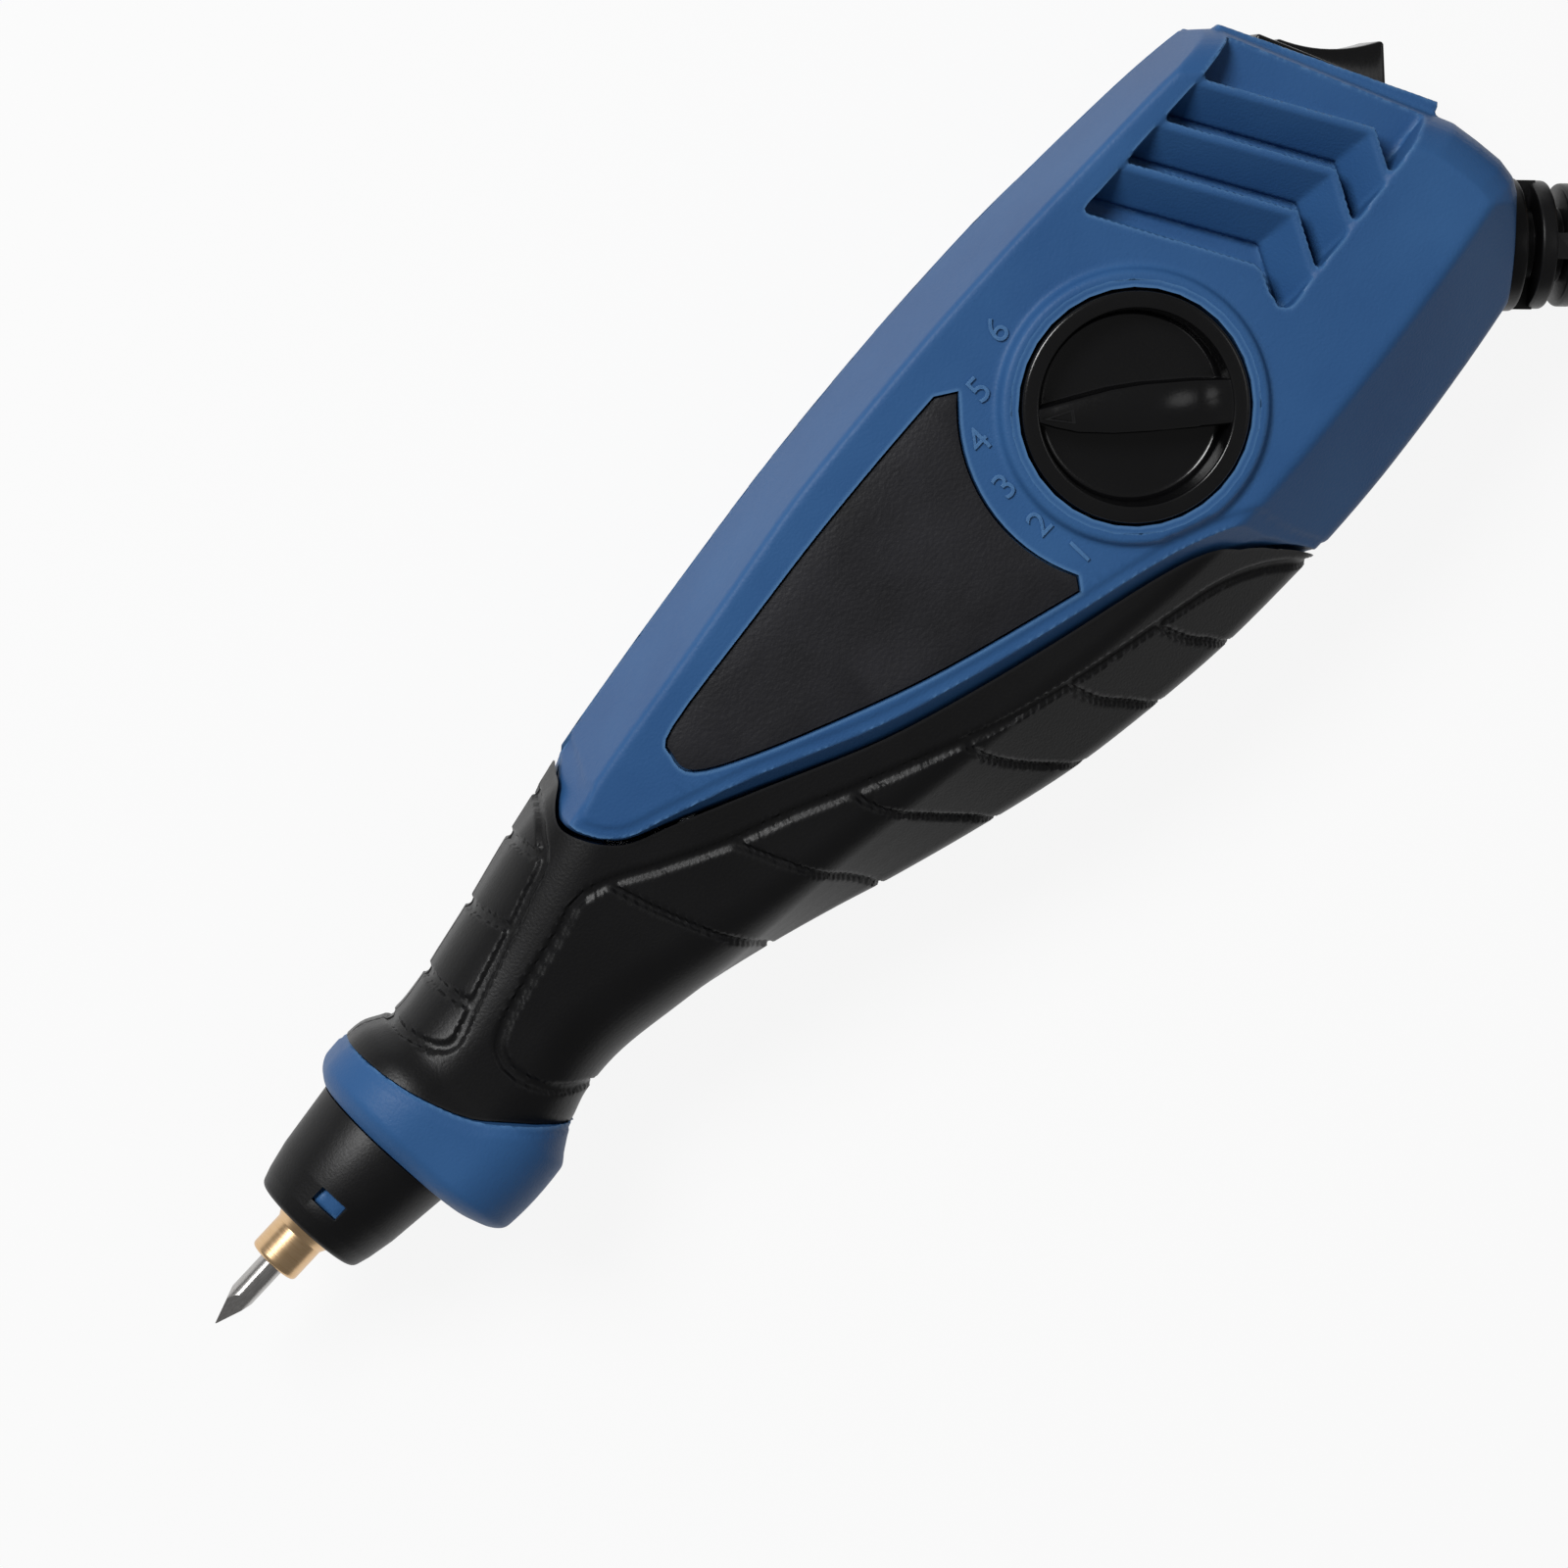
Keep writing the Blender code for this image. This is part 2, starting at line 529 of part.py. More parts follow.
# Booleans are applied at once and their tool removed. The result is cleaned of slivers.
def combine(target, tool, operation='DIFFERENCE'):
    step = target.modifiers.new(tool.name, 'BOOLEAN')
    step.operation = operation
    step.solver = 'EXACT'
    step.object = tool
    bpy.context.view_layer.update()
    ready = target.evaluated_get(bpy.context.evaluated_depsgraph_get())
    mesh = bpy.data.meshes.new_from_object(ready)
    shape = bmesh.new()
    shape.from_mesh(mesh)
    bmesh.ops.remove_doubles(shape, verts=shape.verts, dist=MERGE)
    bmesh.ops.dissolve_degenerate(shape, edges=shape.edges, dist=MERGE)
    bmesh.ops.triangulate(shape, faces=shape.faces)
    shape.to_mesh(mesh)
    shape.free()
    target.modifiers.clear()
    target.data = mesh
    bpy.data.objects.remove(tool, do_unlink=True)
    return target


# Flat faces that the cuts left in pieces become one again
def merge_flats(item):
    shape = bmesh.new()
    shape.from_mesh(item.data)
    bmesh.ops.dissolve_limit(shape, angle_limit=FLAT_ANGLE, verts=shape.verts, edges=shape.edges)
    bmesh.ops.triangulate(shape, faces=shape.faces)
    shape.to_mesh(item.data)
    shape.free()
    return item


def cut(target, *tools):
    for tool in tools:
        combine(target, tool)
    return target


def join(target, *tools):
    for tool in tools:
        combine(target, tool, 'UNION')
    return target


# A moving piece gets its origin on its joint's axis
def set_origin(item, place):
    item.data.transform(Matrix.Translation(-Vector(place)))
    item.location = place
    return item


def dress(item, material, round_off=radians(35)):
    item.data.materials.clear()
    item.data.materials.append(material)
    if item.type == 'MESH':
        item.data.shade_smooth()
        item.data.set_sharp_from_angle(angle=round_off)
    return item


# Sections: corners drawn in by a depth, then rounded
def crossing(first, second):
    (ay, ah), a = first
    (by, bh), b = second
    scale = ay * bh - ah * by
    return ((a * bh - b * ah) / scale, (ay * b - by * a) / scale)


def drawn_in(corners, depth, level):
    seam = ((0, 1), level)
    lines = [seam]
    for (y0, h0), (y1, h1) in zip(corners, corners[1:]):
        run = hypot(y1 - y0, h1 - h0)
        across = (h1 - h0) / run
        upward = (y0 - y1) / run
        lines.append(((across, upward), across * y0 + upward * h0 - depth))
    lines.append(seam)
    return [crossing(a, b) for a, b in zip(lines, lines[1:])]


def corner_arc(before, corner, after, radius, room):
    to_before = (Vector(before) - Vector(corner)).normalized()
    to_after = (Vector(after) - Vector(corner)).normalized()
    turn = pi - to_before.angle(to_after)
    reach = min(radius * tan(turn / 2), room)
    centre = Vector(corner) + (to_before + to_after).normalized() * reach / sin(turn / 2)
    start = Vector(corner) + to_before * reach - centre
    side = -1 if to_before.cross(to_after) > 0 else 1
    points = []
    for k in range(ARC_STEPS + 1):
        swing = side * turn * k / ARC_STEPS
        points.append(centre + Matrix.Rotation(swing, 2) @ start)
    return points


def half_section(shares, depth, level):
    x, ya, yb, hb, yc, hc, ye, he, yf, *round_shares = shares
    corners = [(ya * UPPER_REACH, 0), (yb * UPPER_REACH, hb * HALF_THICK),
               (yc * LOWER_REACH, hc * HALF_THICK), (ye * LOWER_REACH, he * HALF_THICK),
               (yf * LOWER_REACH, 0)]
    corners = drawn_in(corners, depth, level)
    radii = [0] + [max(share * HALF_THICK - depth, GAP) for share in round_shares] + [0]
    points = [Vector(corners[0])]
    for i in (1, 2, 3):
        room = FAR
        for k in (i - 1, i + 1):
            side = (Vector(corners[k]) - Vector(corners[i])).length
            room = min(room, ROUND_SHARE * side * radii[i] / (radii[i] + radii[k]))
        points += corner_arc(corners[i - 1], corners[i], corners[i + 1], radii[i], room)
    points.append(Vector(corners[4]))
    return x * BODY_LENGTH, points


def leaned(row):
    x, ya, yb, hb, yc, *rest = row
    return x, ya, yb * REAR_LEAN_SHARE, hb, yc * REAR_LEAN_SHARE, *rest


def half_loft(name, rows, depth, side, level=SEAM / 2):
    rings = []
    for row in rows:
        x, points = half_section(row if side > 0 else leaned(row), depth, level)
        rings.append([(x, y, side * h) for y, h in points])
    return loft(name, rings)


def whole_loft(name, rows, depth=0):
    rings = []
    for row in rows:
        x, points = half_section(row, depth, 0)
        upper = [(x, y, h) for y, h in points]
        lower = [(x, y, -h) for y, h in reversed(points[1:-1])]
        rings.append(upper + lower)
    return loft(name, rings)


# Plan outlines, shifted to the left of their direction of travel by a distance for each point
def shifted(route, distances):
    moved = []
    for i, ((x, y), distance) in enumerate(zip(route, distances)):
        before = route[max(i - 1, 0)]
        after = route[min(i + 1, len(route) - 1)]
        run = hypot(after[0] - before[0], after[1] - before[1])
        moved.append((x - (after[1] - before[1]) / run * distance,
                      y + (after[0] - before[0]) / run * distance))
    return moved


def plan(shares):
    return [(x * BODY_LENGTH, y * (UPPER_REACH if y > 0 else LOWER_REACH)) for x, y in shares]


# A point on a rear facet, and the angle of the facet's outward normal
def facet(first, share):
    (x0, y0), (x1, y1) = plan(REAR_EDGE_SHARES)[first:first + 2]
    return x0 + (x1 - x0) * share, y0 + (y1 - y0) * share, atan2(x1 - x0, y0 - y1)


# The part of space on the blue panel's side of the grip's edge, drawn in towards both faces
def panel_side(name, spread=0):
    rings = []
    route = plan(PANEL_EDGE_SHARES)
    front = min(x for x, y in route)
    for level, inward in PANEL_DRAFT_SHARES:
        depths = []
        for x, y in route:
            share = min(1, PANEL_TIP_SHARE + (x - front) / PANEL_TIP_RUN)
            depths.append(share * inward * HALF_THICK - spread)
        edge = shifted(route, depths)
        outline = edge + [(FAR, edge[-1][1]), (FAR, edge[0][1])]
        rings.append([(x, y, level * HALF_THICK) for x, y in outline])
    return loft(name, rings)


# The part of space in front of the switch and cord facets, with the rolled rear edge
def rear_side(name, size=1):
    edge = plan(REAR_EDGE_SHARES)
    outline = edge + [(-FAR, edge[-1][1]), (-FAR, edge[0][1])]
    focus = REAR_FOCUS_SHARE * LOWER_REACH
    rings = []
    for level, share in REAR_ROLL_SHARES:
        scale = share * size
        rings.append([(x * scale, focus + (y - focus) * scale, level * HALF_THICK)
                      for x, y in outline])
    return loft(name, rings)


def collar_side(name, spread=0):
    route = plan(COLLAR_EDGE_SHARES)
    edge = shifted(route, [spread] * len(route))
    outline = edge + [(-FAR, edge[-1][1]), (-FAR, edge[0][1])]
    return prism(name, outline, -HALF_THICK, HALF_THICK)


# A frame of its own for the pieces in the two rear facets: u out of the facet, v along it
def placed(item, place):
    x, y, angle = place
    item.data.transform(Matrix.Translation((x, y, 0)) @ Matrix.Rotation(angle, 4, 'Z'))
    return item


def in_switch(item):
    return placed(item, facet(SWITCH_FACET, SWITCH_SHARE))


def in_outlet(item):
    return placed(item, facet(OUTLET_FACET, OUTLET_SHARE))


# Shells

def neck_bore():
    seat_rear = BUSHING_FRONT + BUSHING_LENGTH + GAP
    seat = BUSHING_RADIUS + GAP
    guide = ROD_RADIUS + ROD_CLEARANCE
    guide_rear = GUIDE_FRONT + GUIDE_THICK
    cavity_front = CAVITY_SHARES[0][0] * BODY_LENGTH
    profile = [(SHELL_SPIGOT_FRONT - CUT_OVER, 0), (SHELL_SPIGOT_FRONT - CUT_OVER, NECK_BORE),
               (BUSHING_FRONT - GAP, NECK_BORE), (BUSHING_FRONT - GAP, seat),
               (seat_rear, seat), (seat_rear, NECK_BORE), (GUIDE_FRONT, NECK_BORE),
               (GUIDE_FRONT, guide), (guide_rear, guide), (guide_rear, NECK_BORE),
               (cavity_front + CUT_OVER, NECK_BORE), (cavity_front + CUT_OVER, 0)]
    return turned('neck_bore', profile)


# The hollow, less what stands in it: bosses, the dial's cup, the bridge that carries the buffer,
# the cradle of the magnet and the rib under the cord clamp
def hollow(side):
    space = whole_loft('hollow', CAVITY_SHARES)
    combine(space, rear_side('rear_wall', REAR_WALL_SHARE), 'INTERSECT')
    for place, top in zip(SCREW_PLACES, BOSS_TOPS):
        if side > 0:
            boss = rod('boss', (-CUT_OVER, top), FRONT_BOSS, SMALL_STEPS, 'Z', place)
        else:
            boss = rod('boss', (-FAR, CUT_OVER), BACK_BOSS, SMALL_STEPS, 'Z', place)
        cut(space, boss)
    buffer_front = bridge_rear() + GAP
    bridge = block('bridge', (buffer_front - GAP - BRIDGE_THICK, buffer_front - GAP),
                   (-BRIDGE_HALF_WIDTH, BRIDGE_HALF_WIDTH), (-FAR, FAR))
    cut(space, cut(bridge, rod('bridge_hole', (-FAR, FAR), ROD_RADIUS + ROD_CLEARANCE)))
    if side > 0:
        cup = rod('cup', (WELL_FLOOR_LOW, FAR), CUP_RADIUS, KNOB_STEPS, 'Z', (0, DIAL_Y))
        cut(space, cup)
    else:
        cut(space, cradle(), clamp_rib())
    return space


def bridge_rear():
    return CORE_FRONT - AIR_GAP - ARMATURE_THICK - GAP - BUFFER_THICK - GAP


def cradle():
    outer = CORE_HALF_WIDTH + GAP + CRADLE_WALL
    rest = block('cradle', (CRADLE_FRONT, CRADLE_REAR), (-outer, outer), (-FAR, CRADLE_TOP))
    inner = CORE_HALF_WIDTH + GAP
    room = block('cradle_room', (-FAR, FAR), (-inner, inner), (-CORE_HALF_STACK - GAP, FAR))
    cut(rest, room)
    middle = BOBBIN_HALF_WIDTH + GAP
    return cut(rest, block('winding_room', (-FAR, FAR), (-middle, middle), (-FAR, FAR)))


def clamp_rib():
    top = -CORD_RADIUS - GAP
    rib = block('clamp_rib', (-CLAMP_REACH - CLAMP_WIDTH / 2, -CLAMP_REACH + CLAMP_WIDTH / 2),
                (-CLAMP_LENGTH / 2, CLAMP_LENGTH / 2), (-FAR, top))
    return in_outlet(rib)


def core_of_grip(side):
    neck = half_loft('grip_core', GRIP_SHARES, GRIP_SKIN + GAP, side)
    return cut(neck, collar_side('collar_room', GAP))


def shell_blank(name, side):
    shell = half_loft(name, HOUSING_SHARES, 0, side)
    combine(shell, panel_side('panel_side'), 'INTERSECT')
    combine(shell, rear_side('rear_side'), 'INTERSECT')
    join(shell, core_of_grip(side))
    spigot = rod('spigot', (SHELL_SPIGOT_FRONT, SHELL_SPIGOT_REAR), COLLAR_BORE - GAP, NOSE_STEPS)
    spigot_half = block('half', (-FAR - CUT_OVER, FAR), (-FAR, FAR),
                        (0, side * FAR) if side < 0 else (SEAM / 2, FAR))
    if side < 0:
        spigot_half.data.transform(Matrix.Translation((0, 0, -SEAM / 2)))
    combine(spigot, spigot_half, 'INTERSECT')
    join(shell, spigot)
    cut(shell, hollow(side), neck_bore(), switch_hole(), outlet_hole())
    return shell


def switch_hole():
    length = SWITCH_BODY_LENGTH / 2 + GAP
    width = SWITCH_BODY_WIDTH / 2 + GAP
    hole = block('switch_hole', (-SWITCH_DEPTH, CUT_OVER), (-length, length), (-width, width))
    return in_switch(hole)


def outlet_hole():
    inside = -REAR_WALL - RELIEF_FLANGE_THICK - 2 * GAP
    neck = RELIEF_NECK + GAP
    flange = RELIEF_FLANGE + GAP
    hole = turned('outlet_hole', [(inside, 0), (inside, flange), (-REAR_WALL, flange),
                                  (-REAR_WALL, neck), (CUT_OVER, neck), (CUT_OVER, 0)])
    return in_outlet(hole)


def dial_well():
    hole = KNOB_SHAFT + GAP
    profile = [(WELL_FLOOR_LOW - CUT_OVER, 0), (WELL_FLOOR_LOW - CUT_OVER, hole),
               (WELL_FLOOR_HIGH, hole), (WELL_FLOOR_HIGH, WELL_RADIUS),
               (RING_TOP + CUT_OVER, WELL_RADIUS), (RING_TOP + CUT_OVER, 0)]
    return turned('dial_well', profile, KNOB_STEPS, 'Z', (0, DIAL_Y))


def dial_ring():
    foot = (WELL_FLOOR_LOW + WELL_FLOOR_HIGH) / 2
    profile = [(foot, 0), (foot, RING_RADIUS),
               (RING_TOP - RING_BEVEL, RING_RADIUS), (RING_TOP, RING_RADIUS - RING_BEVEL),
               (RING_TOP, 0)]
    return turned('dial_ring', profile, KNOB_STEPS, 'Z', (0, DIAL_Y))


def label_outline(spread=0):
    near = LABEL_ARC * cos(LABEL_ARC_TO)
    run = LABEL_FRONT_SHARE * BODY_LENGTH - near
    corners = []
    for x, y in LABEL_CORNER_SHARES:
        corners.append((near + x * run, y * (UPPER_REACH if y > 0 else LOWER_REACH)))
    arc = []
    for k in range(LABEL_ARC_STEPS + 1):
        turn = LABEL_ARC_FROM + (LABEL_ARC_TO - LABEL_ARC_FROM) * k / LABEL_ARC_STEPS
        arc.append((LABEL_ARC * cos(turn), LABEL_ARC * sin(turn) + DIAL_Y))
    ring = corners + arc
    count = len(ring)
    loop = [ring[-1]] + ring + [ring[0]]
    return shifted(loop, [spread] * len(loop))[1:count + 1]


def label_cutter():
    depth = LABEL_SINK + LABEL_THICK + GAP
    cutter = prism('label_cutter', label_outline(GAP), 0, FAR)
    return cut(cutter, half_loft('label_floor', HOUSING_SHARES, depth, 1, -CUT_OVER))


# One louvre: its outline across the slope, carried along the chevron
def vent_cutter(number):
    slope = VENT_PITCH - VENT_RIDGE
    over = HALF_THICK + CUT_OVER
    outline = ((0, VENT_CREST), (0, over), (-slope, over), (-slope, VENT_BOTTOM),
               (VENT_SLOT - slope, VENT_BOTTOM), (VENT_SLOT - slope, VENT_FOOT))
    rings = []
    for x, y in plan(VENT_ROUTE_SHARES):
        start = x + number * VENT_PITCH
        rings.append([(start + across, y, h) for across, h in outline])
    return loft('vent_cutter', rings)


def front_shell(material):
    shell = shell_blank('front_shell', 1)
    join(shell, dial_ring())
    cut(shell, dial_well(), label_cutter())
    for number in range(VENT_COUNT):
        cut(shell, vent_cutter(number))
    for place in SCREW_PLACES:
        thread = rod('thread', (-CUT_OVER, SHANK_TOP + GAP), SHANK_RADIUS + GAP, SCREW_STEPS, 'Z', place)
        cut(shell, thread)
    return dress(merge_flats(shell), material)


def rear_shell(material):
    shell = shell_blank('rear_shell', -1)
    for place in SCREW_PLACES:
        counterbore = rod('counterbore', (-FAR, COUNTERBORE_TOP), COUNTERBORE, SMALL_STEPS, 'Z', place)
        through = rod('through', (-FAR, CUT_OVER), SHANK_RADIUS + GAP, SCREW_STEPS, 'Z', place)
        cut(shell, counterbore, through)
    for v in (-CLAMP_SCREW_SPREAD, CLAMP_SCREW_SPREAD):
        depth = (-CORD_RADIUS - GAP - CLAMP_SCREW_DEPTH - GAP, 0)
        hole = rod('clamp_hole', depth, CLAMP_SCREW_RADIUS + GAP, SCREW_STEPS, 'Z', (-CLAMP_REACH, v))
        cut(shell, in_outlet(hole))
    return dress(merge_flats(shell), material)


def grip(name, side, material):
    skin = half_loft(name, GRIP_SHARES, 0, side)
    cut(skin, half_loft('inside', GRIP_SHARES, GRIP_SKIN, side, -CUT_OVER))
    cut(skin, panel_side('panel_room', GAP), collar_side('collar_room', GAP))
    return dress(merge_flats(skin), material)


def label_plate(material):
    plate = prism('label_plate', label_outline(), 0, FAR)
    cut(plate, half_loft('underside', HOUSING_SHARES, LABEL_SINK + LABEL_THICK, 1, -CUT_OVER))
    top = half_loft('top', HOUSING_SHARES, LABEL_SINK, 1, -CUT_OVER)
    return dress(combine(plate, top, 'INTERSECT'), material)


# Nose

def nose_collar(material):
    collar = whole_loft('nose_collar', COLLAR_SHARES)
    combine(collar, collar_side('collar_front'), 'INTERSECT')
    spigot = rod('spigot', (SPIGOT_FRONT, SHELL_SPIGOT_FRONT), SPIGOT_RADIUS, NOSE_STEPS)
    join(collar, spigot)
    for side in (-1, 1):
        lug = block('lug', (LUG_FRONT, LUG_FRONT + LUG_LENGTH),
                    (-LUG_HALF_WIDTH, LUG_HALF_WIDTH), sorted((0, side * LUG_TOP)))
        join(collar, lug)
    step = SHELL_SPIGOT_FRONT - GAP
    front = SPIGOT_FRONT - CUT_OVER
    rear = SHELL_SPIGOT_REAR + CUT_OVER
    bore = turned('collar_bore', [(front, 0), (front, SPIGOT_BORE), (step, SPIGOT_BORE),
                                  (step, COLLAR_BORE), (rear, COLLAR_BORE), (rear, 0)],
                  NOSE_STEPS)
    return dress(merge_flats(cut(collar, bore)), material)


def nose_cap(material):
    rear = COLLAR_FRONT - GAP
    front = rear - CAP_LENGTH
    outer = [(rear - along * CAP_LENGTH, share * CAP_RADIUS) for along, share in CAP_PROFILE_SHARES]
    inner = SPIGOT_RADIUS + GAP
    floor = front + CAP_FRONT_WALL
    profile = outer + [(front, CAP_HOLE), (floor, CAP_HOLE), (floor, inner), (rear, inner)]
    cap = turned('nose_cap', profile, NOSE_STEPS)
    window = block('window', (LUG_FRONT - GAP, LUG_FRONT + LUG_LENGTH + GAP),
                   (-LUG_HALF_WIDTH - GAP, LUG_HALF_WIDTH + GAP), (-FAR, FAR))
    return dress(cut(cap, window), material)


# Striking group

def chuck_web():
    front = CHUCK_FRONT + BIT_SEAT
    return front, front + CHUCK_WEB


def chuck(material):
    bit_bore = BIT_RADIUS + GAP
    rod_bore = ROD_RADIUS + GAP
    web_front, web_rear = chuck_web()
    neck_rear = CHUCK_FRONT + CHUCK_NECK_LENGTH
    flare_rear = neck_rear + CHUCK_FLARE_LENGTH
    rear = CHUCK_FRONT + CHUCK_LENGTH
    body = turned('chuck', [
        (web_front, 0), (web_front, bit_bore), (CHUCK_FRONT, bit_bore),
        (CHUCK_FRONT, CHUCK_NECK_RADIUS), (neck_rear, CHUCK_NECK_RADIUS),
        (flare_rear, CHUCK_RADIUS), (rear, CHUCK_RADIUS),
        (rear, rod_bore), (web_rear, rod_bore), (web_rear, 0)])
    hole = rod('set_hole', (-CHUCK_RADIUS, 0), SET_SCREW_RADIUS + GAP, SCREW_STEPS, 'Z',
               (SET_SCREW_X, 0))
    return dress(cut(body, hole), material)


def engraving_bit(material):
    rear = chuck_web()[0] - GAP
    bit = turned('engraving_bit', [
        (BIT_TIP, 0), (BIT_TIP, BIT_TIP_RADIUS), (BIT_TIP + BIT_POINT, BIT_RADIUS),
        (rear, BIT_RADIUS), (rear, 0)])
    flat = block('flat', (rear - BIT_FLAT_LENGTH, rear + CUT_OVER), (-BIT_RADIUS, BIT_RADIUS),
                 (-BIT_RADIUS - CUT_OVER, BIT_FLAT_DEPTH - BIT_RADIUS))
    return dress(cut(bit, flat), material)


# The set screw is on the rear side, away from the dial
def set_screw(material):
    span = (-CHUCK_NECK_RADIUS, -BIT_RADIUS - GAP)
    screw = rod('set_screw', span, SET_SCREW_RADIUS, SCREW_STEPS, 'Z', (SET_SCREW_X, 0))
    return dress(screw, material)


def armature_front():
    return CORE_FRONT - AIR_GAP - ARMATURE_THICK


def plunger_rod(material):
    front = chuck_web()[1] + GAP
    rear = armature_front() + ARMATURE_THICK - GAP
    flange_rear = FLANGE_FRONT + FLANGE_THICK
    body = turned('plunger_rod', [
        (front, 0), (front, ROD_RADIUS), (FLANGE_FRONT, ROD_RADIUS),
        (FLANGE_FRONT, FLANGE_RADIUS), (flange_rear, FLANGE_RADIUS),
        (flange_rear, ROD_RADIUS), (rear, ROD_RADIUS), (rear, 0)])
    return dress(body, material)


def front_bushing(material):
    inner = ROD_RADIUS + ROD_CLEARANCE
    rear = BUSHING_FRONT + BUSHING_LENGTH
    body = turned('front_bushing', [(BUSHING_FRONT, inner), (BUSHING_FRONT, BUSHING_RADIUS),
                                    (rear, BUSHING_RADIUS), (rear, inner)])
    return dress(body, material)


def return_spring(material):
    wire = SPRING_WIRE / 2
    start = FLANGE_FRONT + FLANGE_THICK + GAP + wire
    length = GUIDE_FRONT - GAP - wire - start
    count = SPRING_CURLS * SPRING_POINTS
    route = []
    for k in range(count + 1):
        turn = 2 * pi * k / SPRING_POINTS
        route.append((start + length * k / count, SPRING_RADIUS * cos(turn),
                      SPRING_RADIUS * sin(turn)))
    pitch = length / SPRING_CURLS
    print('return_spring least gap to itself', round((pitch - SPRING_WIRE) * 1000, 2), 'mm')
    return dress(tube('return_spring', route, wire, 1), material)


def armature(material):
    front = armature_front()
    plate = block('armature', (front, front + ARMATURE_THICK),
                  (-ARMATURE_HALF_WIDTH, ARMATURE_HALF_WIDTH),
                  (-CORE_HALF_STACK, CORE_HALF_STACK + ARMATURE_RISE))
    return dress(cut(plate, rod('rod_hole', (-FAR, FAR), ROD_RADIUS + GAP)), material)


def buffer_ring(material):
    rear = armature_front() - GAP
    front = rear - BUFFER_THICK
    inner = ROD_RADIUS + ROD_CLEARANCE
    ring = turned('buffer', [(front, inner), (front, BUFFER_RADIUS), (rear, BUFFER_RADIUS),
                             (rear, inner)])
    return dress(ring, material)


# Magnet

def magnet_core(material):
    wide = CORE_HALF_WIDTH
    yoke = CORE_REAR - YOKE_DEPTH
    slot = wide - SIDE_LEG
    outline = ((CORE_REAR, -wide), (CORE_REAR, wide), (CORE_FRONT, wide), (CORE_FRONT, slot),
               (yoke, slot), (yoke, MIDDLE_LEG), (CORE_FRONT, MIDDLE_LEG),
               (CORE_FRONT, -MIDDLE_LEG), (yoke, -MIDDLE_LEG), (yoke, -slot),
               (CORE_FRONT, -slot), (CORE_FRONT, -wide))
    core = prism('magnet_core', outline, -CORE_HALF_STACK, CORE_HALF_STACK)
    return dress(core, material)


def bobbin_rear():
    return CORE_REAR - YOKE_DEPTH - GAP


def sleeve(name, x_span, half_width, half_height, inner_width, inner_height):
    body = block(name, x_span, (-half_width, half_width), (-half_height, half_height))
    hole = block('sleeve_hole', (x_span[0] - CUT_OVER, x_span[1] + CUT_OVER),
                 (-inner_width, inner_width), (-inner_height, inner_height))
    return cut(body, hole)


def bobbin(material):
    inner_width = MIDDLE_LEG + GAP
    inner_height = CORE_HALF_STACK + GAP
    spool = sleeve('bobbin', (BOBBIN_FRONT, bobbin_rear()), BOBBIN_HALF_WIDTH,
                   BOBBIN_HALF_HEIGHT, inner_width, inner_height)
    waist = sleeve('waist', (BOBBIN_FRONT + BOBBIN_FLANGE, bobbin_rear() - BOBBIN_FLANGE),
                   BOBBIN_HALF_WIDTH + CUT_OVER, BOBBIN_HALF_HEIGHT + CUT_OVER,
                   inner_width + BOBBIN_WALL, inner_height + BOBBIN_WALL)
    return dress(cut(spool, waist), material)


def winding(material):
    span = (BOBBIN_FRONT + BOBBIN_FLANGE + GAP, bobbin_rear() - BOBBIN_FLANGE - GAP)
    inner_width = MIDDLE_LEG + GAP + BOBBIN_WALL + GAP
    inner_height = CORE_HALF_STACK + GAP + BOBBIN_WALL + GAP
    turns = sleeve('winding', span, BOBBIN_HALF_WIDTH - WINDING_INSET,
                   BOBBIN_HALF_HEIGHT - WINDING_INSET, inner_width, inner_height)
    return dress(turns, material)


# Depth dial, its cam and the stop slider

def turned_about(route, angle):
    return [(x * cos(angle) - y * sin(angle), x * sin(angle) + y * cos(angle) + DIAL_Y)
            for x, y in route]


def depth_dial(material):
    base = WELL_FLOOR_HIGH + GAP
    inner = KNOB_RADIUS - KNOB_RIM
    knob = turned('depth_dial', [
        (CAM_LOW, 0), (CAM_LOW, KNOB_SHAFT), (base, KNOB_SHAFT), (base, KNOB_RADIUS),
        (KNOB_TOP - KNOB_BEVEL, KNOB_RADIUS), (KNOB_TOP, KNOB_RADIUS - KNOB_BEVEL),
        (KNOB_TOP, inner), (KNOB_DISH, inner - KNOB_BEVEL), (KNOB_DISH, 0)],
        KNOB_STEPS, 'Z', (0, DIAL_Y))
    half = BAR_WIDTH / 2
    reach = KNOB_RADIUS - KNOB_BEVEL
    shoulder = reach - BAR_WIDTH
    bar = ((-reach, -half), (shoulder, -half), (reach, -BAR_TIP),
           (reach, BAR_TIP), (shoulder, half), (-reach, half))
    pointer = prism('pointer', turned_about(bar, BAR_ANGLE), KNOB_DISH - KNOB_BEVEL,
                    KNOB_TOP + BAR_PROUD)
    join(knob, pointer)
    hole = rod('thread', (CAM_LOW - CUT_OVER, CAM_LOW + SCREW_DEPTH), SCREW_SHANK + GAP, SCREW_STEPS, 'Z',
               (0, DIAL_Y))
    return dress(set_origin(cut(knob, hole), (0, DIAL_Y, 0)), material)


